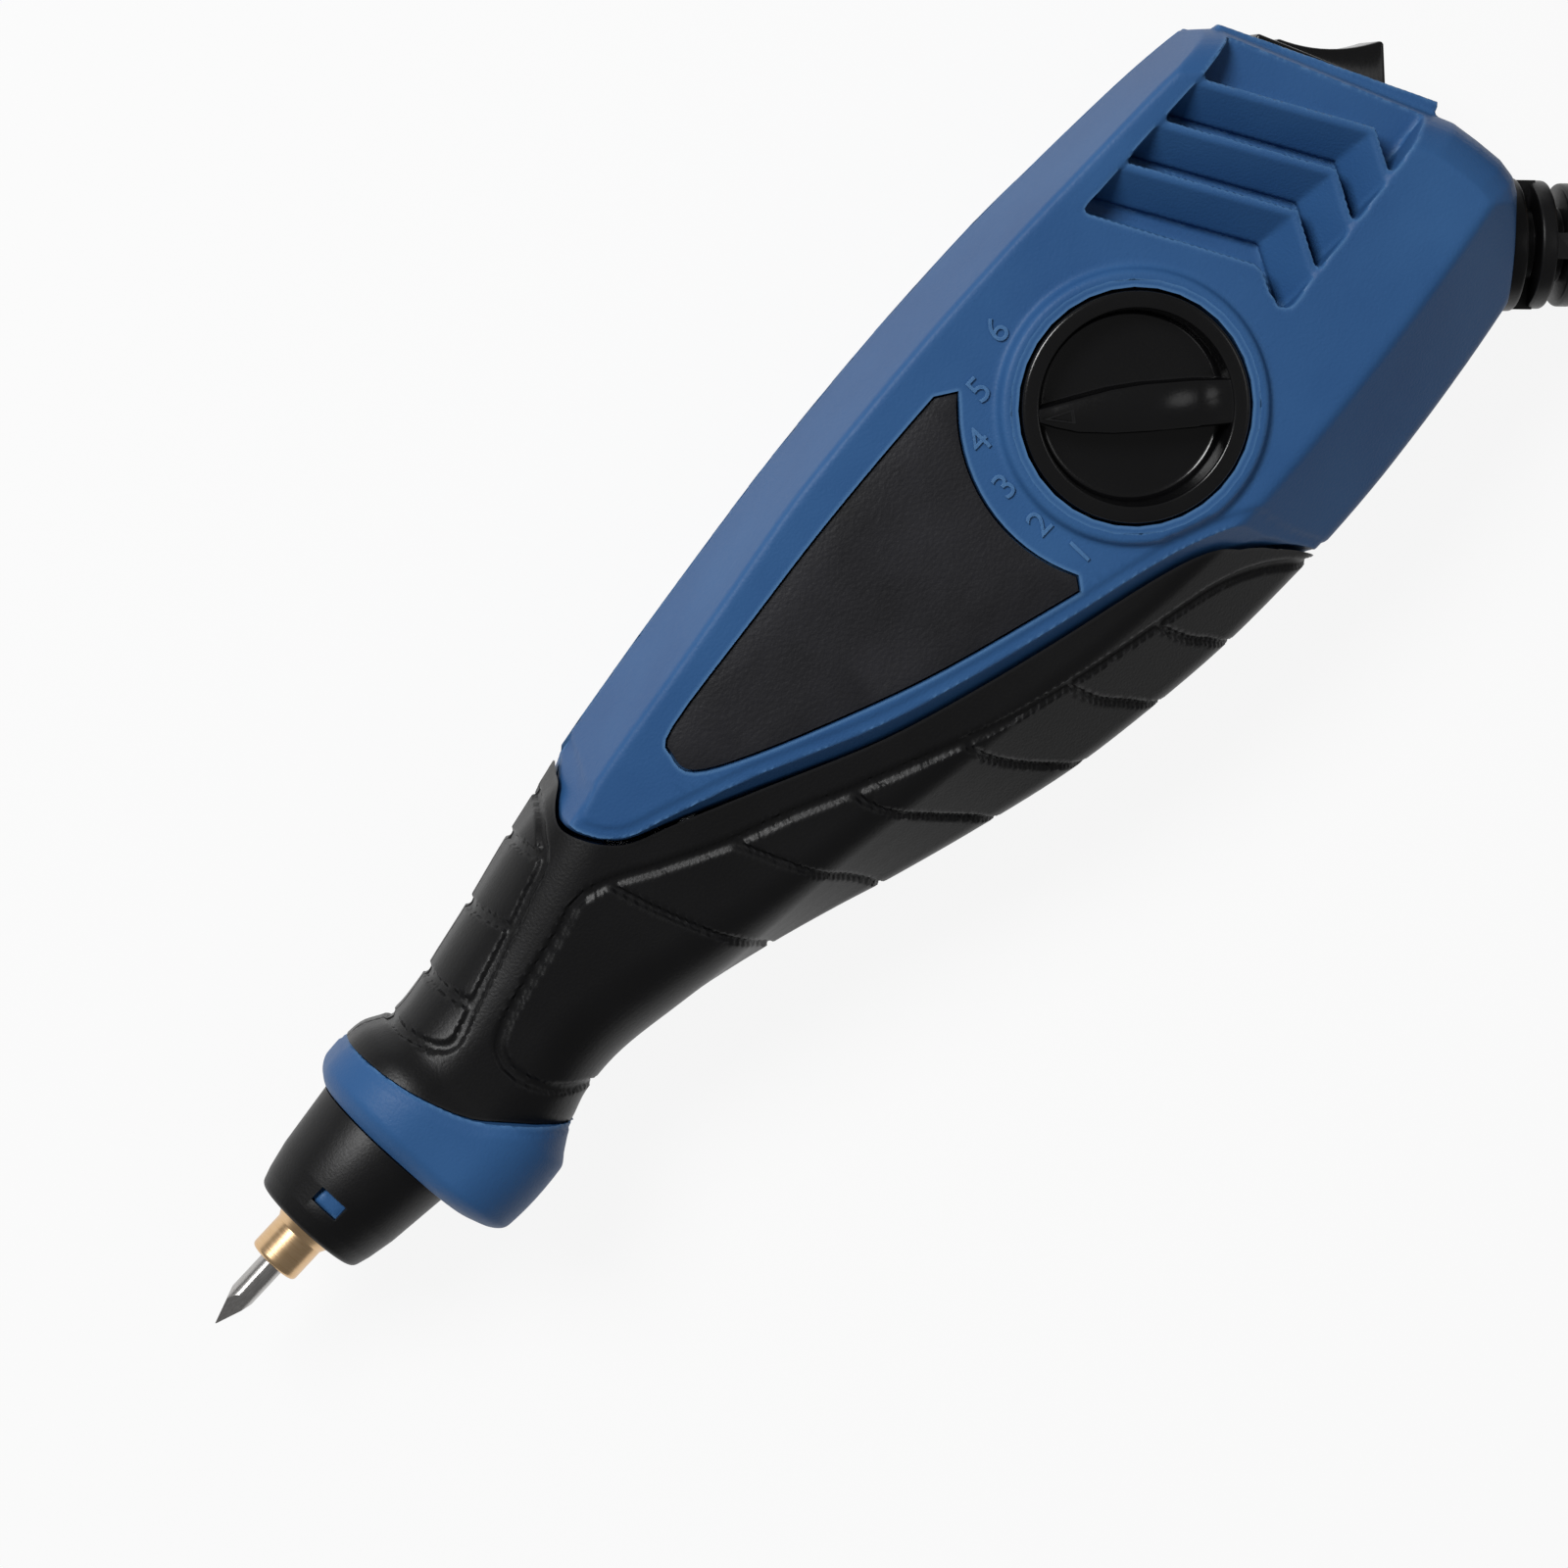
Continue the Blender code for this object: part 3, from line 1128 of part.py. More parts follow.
# The edge's radius at the pin grows evenly with the dial's turn, and steps back behind the range
def dial_cam(material):
    first = -DIAL_DOWN - CAM_SPARE
    last = DIAL_UP + CAM_SPARE
    outline = []
    for k in range(CAM_STEPS):
        turn = first + 2 * pi * k / CAM_STEPS
        radius = CAM_RADIUS + SPIRAL_RATE * (turn if turn < last else first)
        outline.append((radius * cos(pi - turn), radius * sin(pi - turn) + DIAL_Y))
    disc = prism('dial_cam', outline, CAM_LOW, CAM_LOW + CAM_THICK)
    hole = rod('shaft_hole', (0, FAR), KNOB_SHAFT + GAP, SMALL_STEPS, 'Z', (0, DIAL_Y))
    return dress(set_origin(cut(disc, hole), (0, DIAL_Y, 0)), material)


def dial_screw(material):
    head_top = CAM_LOW - GAP
    head_low = head_top - SCREW_HEAD_THICK
    shank_top = CAM_LOW + SCREW_DEPTH - GAP
    screw = turned('dial_screw', [
        (head_low, 0), (head_low, SCREW_HEAD_RADIUS), (head_top, SCREW_HEAD_RADIUS),
        (head_top, SCREW_SHANK), (shank_top, SCREW_SHANK), (shank_top, 0)],
        SMALL_STEPS, 'Z', (0, DIAL_Y))
    return dress(set_origin(screw, (0, DIAL_Y, 0)), material)


# The arms' front clears the armature at the end of its stroke, and the base clears the bobbin,
# both where the dial holds the slider farthest forward
def stop_slider(material):
    wide = CORE_HALF_WIDTH
    slot = wide - SIDE_LEG
    forward = SPIRAL_RATE * DIAL_UP + GAP
    front = CORE_FRONT - AIR_GAP + STROKE + forward
    base_front = bobbin_rear() + forward
    outline = ((SLIDER_REAR, -wide), (SLIDER_REAR, wide), (front, wide), (front, slot),
               (base_front, slot), (base_front, -slot), (front, -slot), (front, -wide))
    low = CORE_HALF_STACK + SLIDER_LIFT
    plate = prism('stop_slider', outline, low, low + SLIDER_THICK)
    pin = rod('pin', (low, CAM_LOW + CAM_THICK), PIN_RADIUS, SCREW_STEPS, 'Z',
              (-PIN_REACH, DIAL_Y))
    return dress(join(plate, pin), material)


# Switch: u points out of the facet, v along it

def switch_body(material):
    half = BEZEL_LENGTH / 2
    width = BEZEL_WIDTH / 2
    body = block('switch_body', (GAP, BEZEL_THICK), (-half, half), (-width, width))
    length = SWITCH_BODY_LENGTH / 2
    depth = SWITCH_BODY_WIDTH / 2
    join(body, block('inner', (-SWITCH_DEPTH, BEZEL_THICK / 2), (-length, length), (-depth, depth)))
    pocket_width = ROCKER_HALF_WIDTH + GAP
    pocket_length = ROCKER_HALF_LENGTH + POCKET_ROOM
    cut(body, block('pocket', (POCKET_FLOOR, BEZEL_THICK + CUT_OVER),
                    (-pocket_length, pocket_length), (-pocket_width, pocket_width)))
    return dress(in_switch(body), material)


def rocker(material):
    wing = ROCKER_HALF_LENGTH
    sole = ROCKER_SOLE_HALF
    outline = ((ROCKER_WING, -ROCKER_CREST), (ROCKER_DIP, 0), (ROCKER_WING, ROCKER_CREST),
               (ROCKER_HEEL, wing), (ROCKER_SOLE, sole), (ROCKER_SOLE, -sole),
               (ROCKER_HEEL, -wing))
    swung = []
    for u, v in outline:
        from_pivot = u - ROCKER_PIVOT
        swung.append((ROCKER_PIVOT + from_pivot * cos(ROCKER_TILT) + v * sin(ROCKER_TILT),
                      v * cos(ROCKER_TILT) - from_pivot * sin(ROCKER_TILT)))
    swung = [(u, -v) for u, v in swung]
    body = prism('rocker', swung, -ROCKER_HALF_WIDTH, ROCKER_HALF_WIDTH)
    in_switch(body)
    x, y, angle = facet(SWITCH_FACET, SWITCH_SHARE)
    pivot = (x + ROCKER_PIVOT * cos(angle), y + ROCKER_PIVOT * sin(angle), 0)
    print('rocker pivot', [round(value, 5) for value in pivot])
    return dress(set_origin(body, pivot), material)


def terminals(material):
    pieces = []
    for number, v in enumerate((-TERMINAL_SPREAD, TERMINAL_SPREAD), 1):
        rear = -SWITCH_DEPTH - GAP
        blade = block('terminal_%d' % number, (rear - TERMINAL_LENGTH, rear),
                      (v - TERMINAL_THICK / 2, v + TERMINAL_THICK / 2),
                      (-TERMINAL_WIDTH / 2, TERMINAL_WIDTH / 2))
        pieces.append(dress(in_switch(blade), material))
    return pieces


# Screws

def shell_screws(material):
    pieces = []
    head_top = COUNTERBORE_TOP - GAP
    for number, place in enumerate(SCREW_PLACES, 1):
        screw = turned('shell_screw_%d' % number, [
            (head_top - HEAD_THICK, 0), (head_top - HEAD_THICK, HEAD_RADIUS),
            (head_top, HEAD_RADIUS), (head_top, SHANK_RADIUS), (SHANK_TOP, SHANK_RADIUS),
            (SHANK_TOP, 0)], SCREW_STEPS, 'Z', place)
        pieces.append(dress(screw, material))
    return pieces


def clamp_screws(material):
    pieces = []
    bottom = -CORD_RADIUS - GAP - CLAMP_SCREW_DEPTH
    head = CLAMP_TOP + GAP
    for number, v in enumerate((-CLAMP_SCREW_SPREAD, CLAMP_SCREW_SPREAD), 1):
        screw = turned('clamp_screw_%d' % number, [
            (bottom, 0), (bottom, CLAMP_SCREW_RADIUS), (head, CLAMP_SCREW_RADIUS),
            (head, CLAMP_HEAD_RADIUS), (head + CLAMP_HEAD_THICK, CLAMP_HEAD_RADIUS),
            (head + CLAMP_HEAD_THICK, 0)], SCREW_STEPS, 'Z', (-CLAMP_REACH, v))
        pieces.append(dress(in_outlet(screw), material))
    return pieces


# Cord outlet

def cord_clamp(material):
    span = (-CLAMP_REACH - CLAMP_WIDTH / 2, -CLAMP_REACH + CLAMP_WIDTH / 2)
    bar = block('cord_clamp', span, (-CLAMP_LENGTH / 2, CLAMP_LENGTH / 2), (CLAMP_FOOT, CLAMP_TOP))
    room = CORD_RADIUS + GAP
    cut(bar, rod('channel', (-FAR, FAR), room))
    cut(bar, block('mouth', (-FAR, FAR), (-room, room), (-FAR, 0)))
    for v in (-CLAMP_SCREW_SPREAD, CLAMP_SCREW_SPREAD):
        cut(bar, rod('clamp_hole', (-FAR, FAR), CLAMP_SCREW_RADIUS + GAP, SCREW_STEPS, 'Z',
                     (-CLAMP_REACH, v)))
    return dress(in_outlet(bar), material)


def strain_relief(material):
    bore = CORD_RADIUS + GAP
    wall_rear = -REAR_WALL - GAP
    profile = [(wall_rear - RELIEF_FLANGE_THICK, bore),
               (wall_rear - RELIEF_FLANGE_THICK, RELIEF_FLANGE), (wall_rear, RELIEF_FLANGE),
               (wall_rear, RELIEF_NECK), (GAP, RELIEF_NECK)]
    pitch = (RELIEF_LENGTH - GAP) / RELIEF_RIBS
    for k in range(RELIEF_RIBS):
        start = GAP + pitch * k
        radius = RELIEF_RADIUS + (RELIEF_END_RADIUS - RELIEF_RADIUS) * k / (RELIEF_RIBS - 1)
        rib_end = start + pitch * (1 - RELIEF_GROOVE_SHARE)
        profile += [(start, radius), (rib_end, radius)]
        if k < RELIEF_RIBS - 1:
            waist = max(radius - RELIEF_GROOVE, bore + RELIEF_GROOVE / 2)
            profile += [(rib_end, waist), (start + pitch, waist)]
        else:
            profile.append((rib_end, bore))
    body = turned('strain_relief', profile)
    return dress(in_outlet(body), material)


# Cord: points from one smooth curve through its route
def smooth_route(route, step):
    places = [Vector(place) for place in route]
    places = [places[0] * 2 - places[1]] + places + [places[-1] * 2 - places[-2]]
    points = []
    for i in range(1, len(places) - 2):
        a, b, c, d = places[i - 1:i + 3]
        count = max(1, round((c - b).length / step))
        for k in range(count):
            t = k / count
            points.append(((b * 2) + (c - a) * t + (a * 2 - b * 5 + c * 4 - d) * t * t
                           + (b * 3 - a - c * 3 + d) * t ** 3) / 2)
    points.append(places[-2])
    return points


def lowered(route):
    return [(x, y, z - HALF_THICK) for x, y, z in route]


def coil_point(turn):
    reverse = COIL_TURNS / 2
    radius = COIL_INNER + COIL_PITCH * abs(turn - reverse)
    climb = min(max((turn - reverse) * 2 + 1 / 2, 0), 1)
    climb = climb * climb * (3 - 2 * climb)
    angle = COIL_START + 2 * pi * turn
    return Vector((COIL_CENTRE[0] + radius * cos(angle), COIL_CENTRE[1] + radius * sin(angle),
                   CORD_RADIUS + COIL_LIFT + LAYER_RISE * climb))


def coil_ends():
    along = Vector((-sin(COIL_START), cos(COIL_START), 0))
    start = coil_point(0)
    end = coil_point(COIL_TURNS)
    return start - along * 2 * CORD_RADIUS, end + along * 2 * CORD_RADIUS, along


def coil_route():
    start, end, along = coil_ends()
    turns = [coil_point(k / COIL_POINTS) for k in range(COIL_TURNS * COIL_POINTS + 1)]
    return [start] + turns + [end]


def least_gap(route, skip):
    least = FAR
    for i, first in enumerate(route):
        for second in route[i + skip:]:
            least = min(least, (first - second).length)
    return least - 2 * CORD_RADIUS


def clearance(first_run, second_run):
    least = min((first - second).length for first in first_run for second in second_run)
    return least - 2 * CORD_RADIUS


def run_length(run):
    return sum((b - a).length for a, b in zip(run, run[1:]))


def cord_pieces(material):
    start, end, along = coil_ends()
    gap = along * GAP
    route = [Vector(place) for place in CORD_ROUTE] + [start - gap]
    cord = tube('cord', lowered(smooth_route(route, CORD_POINT_STEP)), CORD_RADIUS, 2)
    turns = coil_route()
    print('cord_coil least gap to itself', round(least_gap(turns, COIL_POINTS // 2) * 1000, 2), 'mm')
    coil = tube('cord_coil', lowered(turns), CORD_RADIUS, 1)
    tail_route = ([end + gap, end + along * CORD_RADIUS]
                  + [Vector(place) for place in TAIL_ROUTE])
    tail = tube('cord_tail', lowered(smooth_route(tail_route, CORD_POINT_STEP)), CORD_RADIUS, 2)
    runs = [smooth_route(route, CORD_POINT_STEP)[1:], turns,
            smooth_route(tail_route, CORD_POINT_STEP)]
    print('cord length outside', round(sum(run_length(run) for run in runs), 3), 'm')
    print('cord least gap to the coil', round(clearance(runs[0][:-2], turns) * 1000, 2), 'mm')
    print('tail least gap to the coil', round(clearance(runs[2][2:], turns) * 1000, 2), 'mm')
    return [dress(piece, material) for piece in (cord, coil, tail)]


# The tie is a flat strap round the whole bundle of turns
def cord_tie(material):
    inner = COIL_INNER - CORD_RADIUS - TIE_SPARE
    outer = COIL_INNER + COIL_PITCH * COIL_TURNS / 2 + CORD_RADIUS + GAP
    low = TIE_THICK
    high = COIL_LIFT + LAYER_RISE + 2 * CORD_RADIUS + GAP
    half = TIE_WIDTH / 2
    strap = block('cord_tie', (inner - TIE_THICK, outer + TIE_THICK), (-half, half),
                  (0, high + TIE_THICK))
    cut(strap, block('bundle', (inner, outer), (-FAR, FAR), (low, high)))
    swing = Matrix.Translation((*COIL_CENTRE, -HALF_THICK)) @ Matrix.Rotation(TIE_ANGLE, 4, 'Z')
    strap.data.transform(swing)
    return dress(strap, material)


# Plug: u points the way the cord runs
def plug_pieces(body_material, blade_material):
    before, seat = (Vector(place) for place in TAIL_ROUTE[-2:])
    along = seat - before
    angle = atan2(along.y, along.x)
    lift = seat.z - HALF_THICK
    rings = []
    shoulder = PLUG_LENGTH * PLUG_SHOULDER_SHARE
    for u, width, thick in ((-PLUG_BORE_DEPTH, PLUG_NECK_WIDTH, PLUG_NECK_THICK),
                            (shoulder, PLUG_WIDTH, PLUG_THICK),
                            (PLUG_LENGTH - PLUG_BORE_DEPTH, PLUG_WIDTH, PLUG_THICK)):
        ring = []
        for v, h in ((-1, -1), (1, -1), (1, 1), (-1, 1)):
            for across, upward in ((0, PLUG_CORNER), (PLUG_CORNER, 0)):
                if v * h < 0:
                    across, upward = upward, across
                ring.append((u, v * (width / 2 - across), h * (thick / 2 - upward)))
        rings.append(ring)
    body = loft('plug_body', rings)
    cut(body, rod('cord_bore', (-PLUG_BORE_DEPTH - CUT_OVER, GAP), CORD_RADIUS + GAP))
    blades = []
    front = PLUG_LENGTH - PLUG_BORE_DEPTH
    for number, v in enumerate((-BLADE_SPREAD / 2, BLADE_SPREAD / 2), 1):
        span = (v - BLADE_THICK / 2, v + BLADE_THICK / 2)
        half = BLADE_WIDTH / 2
        cut(body, block('slot', (front - BLADE_ROOT - GAP, front + CUT_OVER),
                        (span[0] - GAP, span[1] + GAP), (-half - GAP, half + GAP)))
        blades.append(block('plug_blade_%d' % number, (front - BLADE_ROOT, front + BLADE_LENGTH),
                            span, (-half, half)))
    for piece in [body] + blades:
        piece.data.transform(Matrix.Translation((seat.x, seat.y, lift))
                             @ Matrix.Rotation(angle, 4, 'Z'))
    dress(body, body_material)
    return [body] + [dress(blade, blade_material) for blade in blades]


def build():
    for item in list(bpy.data.objects):
        bpy.data.objects.remove(item, do_unlink=True)
    blue = finish('blue_nylon', '3E70A3', 0.45)
    soft = finish('black_elastomer', '1B1C1D', 0.7)
    black = finish('black_plastic', '161617', 0.35)
    label = finish('label_black', '151617', 0.6)
    brass = finish('brass', 'C2A06A', 0.3, 1)
    steel = finish('steel', 'A8AAAD', 0.35, 1)
    carbide = finish('carbide', '8A8C8E', 0.3, 1)
    bronze = finish('sintered_bronze', '9C7A4A', 0.5, 1)
    laminate = finish('laminated_iron', '5C5E61', 0.5, 1)
    copper = finish('enamelled_copper', '9A4A26', 0.4, 1)
    natural = finish('natural_nylon', 'D8D4C8', 0.5)
    cable = finish('cable_jacket', '1A1A1B', 0.55)

    pieces = [
        front_shell(blue), rear_shell(blue), grip('front_grip', 1, soft),
        grip('rear_grip', -1, soft), label_plate(label), nose_collar(blue), nose_cap(black),
        chuck(brass), engraving_bit(carbide), set_screw(steel), plunger_rod(steel),
        front_bushing(bronze), return_spring(steel), armature(laminate), buffer_ring(soft),
        magnet_core(laminate), bobbin(natural), winding(copper), depth_dial(black),
        dial_cam(natural), dial_screw(steel), stop_slider(natural), switch_body(black),
        rocker(black), cord_clamp(natural), strain_relief(cable), cord_tie(soft),
    ]
    pieces += terminals(brass) + shell_screws(steel) + clamp_screws(steel)
    pieces += cord_pieces(cable) + plug_pieces(cable, brass)

    axis = bpy.data.objects.new('tool_axis', None)
    axis.location.z = HALF_THICK
    bpy.context.collection.objects.link(axis)
    for piece in pieces:
        piece.parent = axis
    print(len(pieces), 'pieces')


build()
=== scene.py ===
from math import atan2, cos, hypot, pi, radians, sin, tan

import bmesh
import bpy
from mathutils import Matrix, Vector
from mathutils.kdtree import KDTree


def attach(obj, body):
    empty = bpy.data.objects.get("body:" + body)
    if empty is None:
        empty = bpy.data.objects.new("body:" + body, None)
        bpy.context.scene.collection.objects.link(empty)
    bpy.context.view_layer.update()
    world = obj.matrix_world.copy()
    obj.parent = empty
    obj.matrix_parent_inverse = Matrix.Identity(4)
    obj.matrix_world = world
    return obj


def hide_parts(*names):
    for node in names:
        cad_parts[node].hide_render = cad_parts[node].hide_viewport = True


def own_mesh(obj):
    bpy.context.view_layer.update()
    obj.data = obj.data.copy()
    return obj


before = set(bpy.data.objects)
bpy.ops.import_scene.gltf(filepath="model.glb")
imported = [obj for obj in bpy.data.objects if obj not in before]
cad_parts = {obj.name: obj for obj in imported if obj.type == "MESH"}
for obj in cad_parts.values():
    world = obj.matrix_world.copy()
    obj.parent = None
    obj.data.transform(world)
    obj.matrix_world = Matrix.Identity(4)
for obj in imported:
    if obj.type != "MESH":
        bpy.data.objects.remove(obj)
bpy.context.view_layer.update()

# Sizes are in millimetres round the tool axis, which lies 18 mm above the floor.
# The last step of each piece brings it to metres on the floor.
mm = 0.001
halfThick = 18.0
gap = 0.3
weld = 0.001        # corners closer than this are one corner
over = 0.5          # a cutter runs at least this far past what it cuts
past = 30.0         # a level outside the body, above it or below it
farOut = 160.0      # a place outside its length and width
toFloor = Matrix.Scale(mm, 4) @ Matrix.Translation((0, 0, halfThick))
toAxis = toFloor.inverted()


# Colours and nodes

def toLinear(hexColour):
    parts = []
    for i in (0, 2, 4):
        share = int(hexColour[i:i + 2], 16) / 255
        parts.append(share / 12.92 if share <= 0.04045 else ((share + 0.055) / 1.055) ** 2.4)
    return (*parts, 1)


def addNode(nodes, kind, inputs=None, **settings):
    node = nodes.new(kind)
    for key, value in settings.items():
        setattr(node, key, value)
    for key, value in (inputs or {}).items():
        if isinstance(value, bpy.types.NodeSocket):
            nodes.id_data.links.new(value, node.inputs[key])
        else:
            node.inputs[key].default_value = value
    return node


def startMaterial(name, roughness, metallic=0.0, ior=1.5):
    material = bpy.data.materials.new(name)
    material.use_nodes = True
    nodes = material.node_tree.nodes
    shader = nodes["Principled BSDF"]
    shader.inputs["Roughness"].default_value = roughness
    shader.inputs["Metallic"].default_value = metallic
    if not metallic:
        shader.inputs["IOR"].default_value = ior
    spot = addNode(nodes, "ShaderNodeTexCoord").outputs["Object"]
    return material, nodes, shader, spot


# A fine pattern spreads the gloss to both sides of its middle and lifts the surface
def addGrain(shader, pattern, sizes, below, above, height):
    nodes, links = shader.id_data.nodes, shader.id_data.links
    gloss = addNode(nodes, "ShaderNodeMapRange", {"Value": pattern,
                                                  "To Min": sizes["roughness"] - below,
                                                  "To Max": sizes["roughness"] + above})
    links.new(gloss.outputs["Result"], shader.inputs["Roughness"])
    bump = addNode(nodes, "ShaderNodeBump", {"Height": pattern, "Strength": sizes["bump"],
                                             "Distance": height})
    links.new(bump.outputs["Normal"], shader.inputs["Normal"])


# A moulded polymer: two close shades in soft clouds, a grain that breaks up the gloss, and lighter edges,
# partly rubbing and partly a painted highlight where the light catches. A Mix node has its two colours at
# sockets 6 and 7.
def mouldedMaterial(name, sizes):
    material, nodes, shader, spot = startMaterial(name, sizes["roughness"], ior=sizes["ior"])
    clouds = addNode(nodes, "ShaderNodeTexNoise", {"Vector": spot, "Scale": 1 / (sizes["cloud"] * mm),
                                                   "Detail": 3.0, "Roughness": 0.55})
    soft = addNode(nodes, "ShaderNodeMapRange", {"Value": clouds.outputs["Fac"], "From Min": 0.3,
                                                 "From Max": 0.7})
    shade = addNode(nodes, "ShaderNodeMix", {0: soft.outputs["Result"], 6: toLinear(sizes["dark"]),
                                             7: toLinear(sizes["light"])}, data_type="RGBA")
    rounded = addNode(nodes, "ShaderNodeBevel", {"Radius": sizes["edge"] * mm}, samples=6)
    flat = addNode(nodes, "ShaderNodeNewGeometry")
    facing = addNode(nodes, "ShaderNodeVectorMath", {0: rounded.outputs[0], 1: flat.outputs["Normal"]},
                     operation="DOT_PRODUCT")
    # Edge mask: the lighter edge colour is a painted highlight as well as rubbing
    rubbedAndLit = addNode(nodes, "ShaderNodeMapRange", {"Value": facing.outputs["Value"], "From Min": 0.995,
                                                   "From Max": 0.93, "To Max": sizes["wearAndSheen"]})
    shade = addNode(nodes, "ShaderNodeMix", {0: rubbedAndLit.outputs["Result"], 6: shade.outputs[2],
                                             7: toLinear(sizes["wornAndLitEdge"])}, data_type="RGBA")
    nodes.id_data.links.new(shade.outputs[2], shader.inputs["Base Color"])
    grain = addNode(nodes, "ShaderNodeTexNoise", {"Vector": spot, "Scale": 1 / (sizes["grain"] * mm),
                                                  "Detail": 2.0, "Roughness": 0.5})
    addGrain(shader, grain.outputs["Fac"], sizes, 0.06, 0.06, sizes["grain"] * mm * 0.25)
    return material


# A worked metal: fine tool marks across the turning axis, a slightly uneven tone
def machinedMaterial(name, sizes):
    material, nodes, shader, spot = startMaterial(name, sizes["roughness"], 1.0)
    stretch = addNode(nodes, "ShaderNodeMapping", {"Vector": spot, "Scale": sizes["stretch"]})
    marks = addNode(nodes, "ShaderNodeTexNoise", {"Vector": stretch.outputs["Vector"],
                                                  "Scale": 1 / (sizes["marks"] * mm),
                                                  "Detail": 4.0, "Roughness": 0.6})
    shade = addNode(nodes, "ShaderNodeMix", {0: marks.outputs["Fac"], 6: toLinear(sizes["dark"]),
                                             7: toLinear(sizes["light"])}, data_type="RGBA")
    nodes.id_data.links.new(shade.outputs[2], shader.inputs["Base Color"])
    addGrain(shader, marks.outputs["Fac"], sizes, 0.08, 0.1, sizes["marks"] * mm * 0.1)
    return material


# Glass-filled nylon, spark-eroded mould: an even satin with a fine grain, drawn at 0.32 mm so
# that it shows
blueNylon = mouldedMaterial("mouldedBlueNylon", {
    "dark": "2B5384", "light": "345E8F", "wornAndLitEdge": "5F89B4", "wearAndSheen": 0.55, "edge": 0.8,
    "roughness": 0.48, "ior": 1.28, "cloud": 22, "grain": 0.32, "bump": 0.5})
# Overmoulded soft rubber: near black with a low, wide sheen, and greyer edges, partly rubbing and partly a
# painted highlight
softRubber = mouldedMaterial("overmouldedRubber", {
    "dark": "0A0A0B", "light": "101011", "wornAndLitEdge": "222224", "wearAndSheen": 0.5, "edge": 0.5,
    "roughness": 0.4, "ior": 1.32, "cloud": 14, "grain": 0.3, "bump": 0.3})
# Black ABS off a polished mould, as on knobs and rocker keys: deep black with sharp highlights
blackAbs = mouldedMaterial("glossyBlackAbs", {
    "dark": "070708", "light": "0C0C0D", "wornAndLitEdge": "1E1E20", "wearAndSheen": 0.4, "edge": 0.35,
    "roughness": 0.2, "ior": 1.42, "cloud": 12, "grain": 0.3, "bump": 0.1})
# The same ABS off a spark-eroded mould, as on the nose cap: satin with a grain that sparkles
grainedAbs = mouldedMaterial("grainedBlackAbs", {
    "dark": "0B0B0C", "light": "111112", "wornAndLitEdge": "262628", "wearAndSheen": 0.4, "edge": 0.35,
    "roughness": 0.42, "ior": 1.33, "cloud": 8, "grain": 0.3, "bump": 0.3})
# Label stock under a coarse leather-grain film, drawn at 0.45 mm so that it shows
grainedLabel = mouldedMaterial("grainedLabelFilm", {
    "dark": "17171A", "light": "222226", "wornAndLitEdge": "2E2E32", "wearAndSheen": 0.3, "edge": 0.3,
    "roughness": 0.5, "ior": 1.36, "cloud": 9, "grain": 0.45, "bump": 0.6})
# Polyvinyl cable jacket, smooth with a faint extrusion haze
cableVinyl = mouldedMaterial("extrudedCableVinyl", {
    "dark": "0C0C0D", "light": "121213", "wornAndLitEdge": "242426", "wearAndSheen": 0.3, "edge": 0.4,
    "roughness": 0.36, "ior": 1.34, "cloud": 18, "grain": 0.35, "bump": 0.12})
# Natural nylon of the inner mouldings: creamy and waxy
naturalNylon = mouldedMaterial("naturalNylon", {
    "dark": "CFCABB", "light": "DDD9CC", "wornAndLitEdge": "EAE7DE", "wearAndSheen": 0.4, "edge": 0.4,
    "roughness": 0.45, "ior": 1.45, "cloud": 10, "grain": 0.3, "bump": 0.15})
# Brass turned on a lathe: warm, rings of tool marks round the axis
turnedBrass = machinedMaterial("turnedBrass", {
    "dark": "CFA878", "light": "F0D0A8", "roughness": 0.3, "marks": 0.5,
    "stretch": (6, 0.3, 0.3), "bump": 0.06})
# Ground steel: cool grey with fine lengthwise scratches
groundSteel = machinedMaterial("groundSteel", {
    "dark": "8F9296", "light": "B9BCC0", "roughness": 0.3, "marks": 0.5,
    "stretch": (5, 1, 1), "bump": 0.2})
# Sintered carbide: darker and denser, ground in short strokes
groundCarbide = machinedMaterial("groundCarbide", {
    "dark": "9A9896", "light": "CFCDCB", "roughness": 0.26, "marks": 0.6,
    "stretch": (0.5, 3, 3), "bump": 0.1})
# Sintered bronze: porous, so it is matt and speckled
sinteredBronze = machinedMaterial("sinteredBronze", {
    "dark": "7A5B34", "light": "AA8754", "roughness": 0.5, "marks": 0.35,
    "stretch": (1, 1, 1), "bump": 0.6})
# Stamped lamination iron: thin sheets, so the tone runs in layers of 0.5 mm
laminatedIron = machinedMaterial("laminatedIron", {
    "dark": "46494D", "light": "6C6F73", "roughness": 0.45, "marks": 0.5,
    "stretch": (0.2, 0.2, 1), "bump": 0.5})
# Enamelled copper wire in close layers
enamelledCopper = machinedMaterial("enamelledCopper", {
    "dark": "7E3617", "light": "B4622F", "roughness": 0.3, "marks": 0.4,
    "stretch": (1, 0.1, 0.1), "bump": 0.6})

print("materials are ready")


def linked(name, data):
    item = bpy.data.objects.new(name, data)
    bpy.context.collection.objects.link(item)
    return item


# Camera, light and floor

camera = {"lookAt": (-55.897, -5.39, 0), "away": 555.0, "lean": 10.4, "turn": 46.95, "lens": 113.47,
          "sensor": 36.0, "near": 0.01}
studio = {"sky": 0.2, "paper": "D6D6D6", "matt": 0.9, "white": 0.9, "halfWidth": 3.0}


def viewAxes():
    lean, turn = radians(camera["lean"]), radians(camera["turn"])
    back = Vector((0, sin(lean), cos(lean)))
    up = Vector((0, cos(lean), -sin(lean)))
    side = Vector((cos(turn), 0, 0)) - up * sin(turn)
    top = Vector((sin(turn), 0, 0)) + up * cos(turn)
    return side, top, back


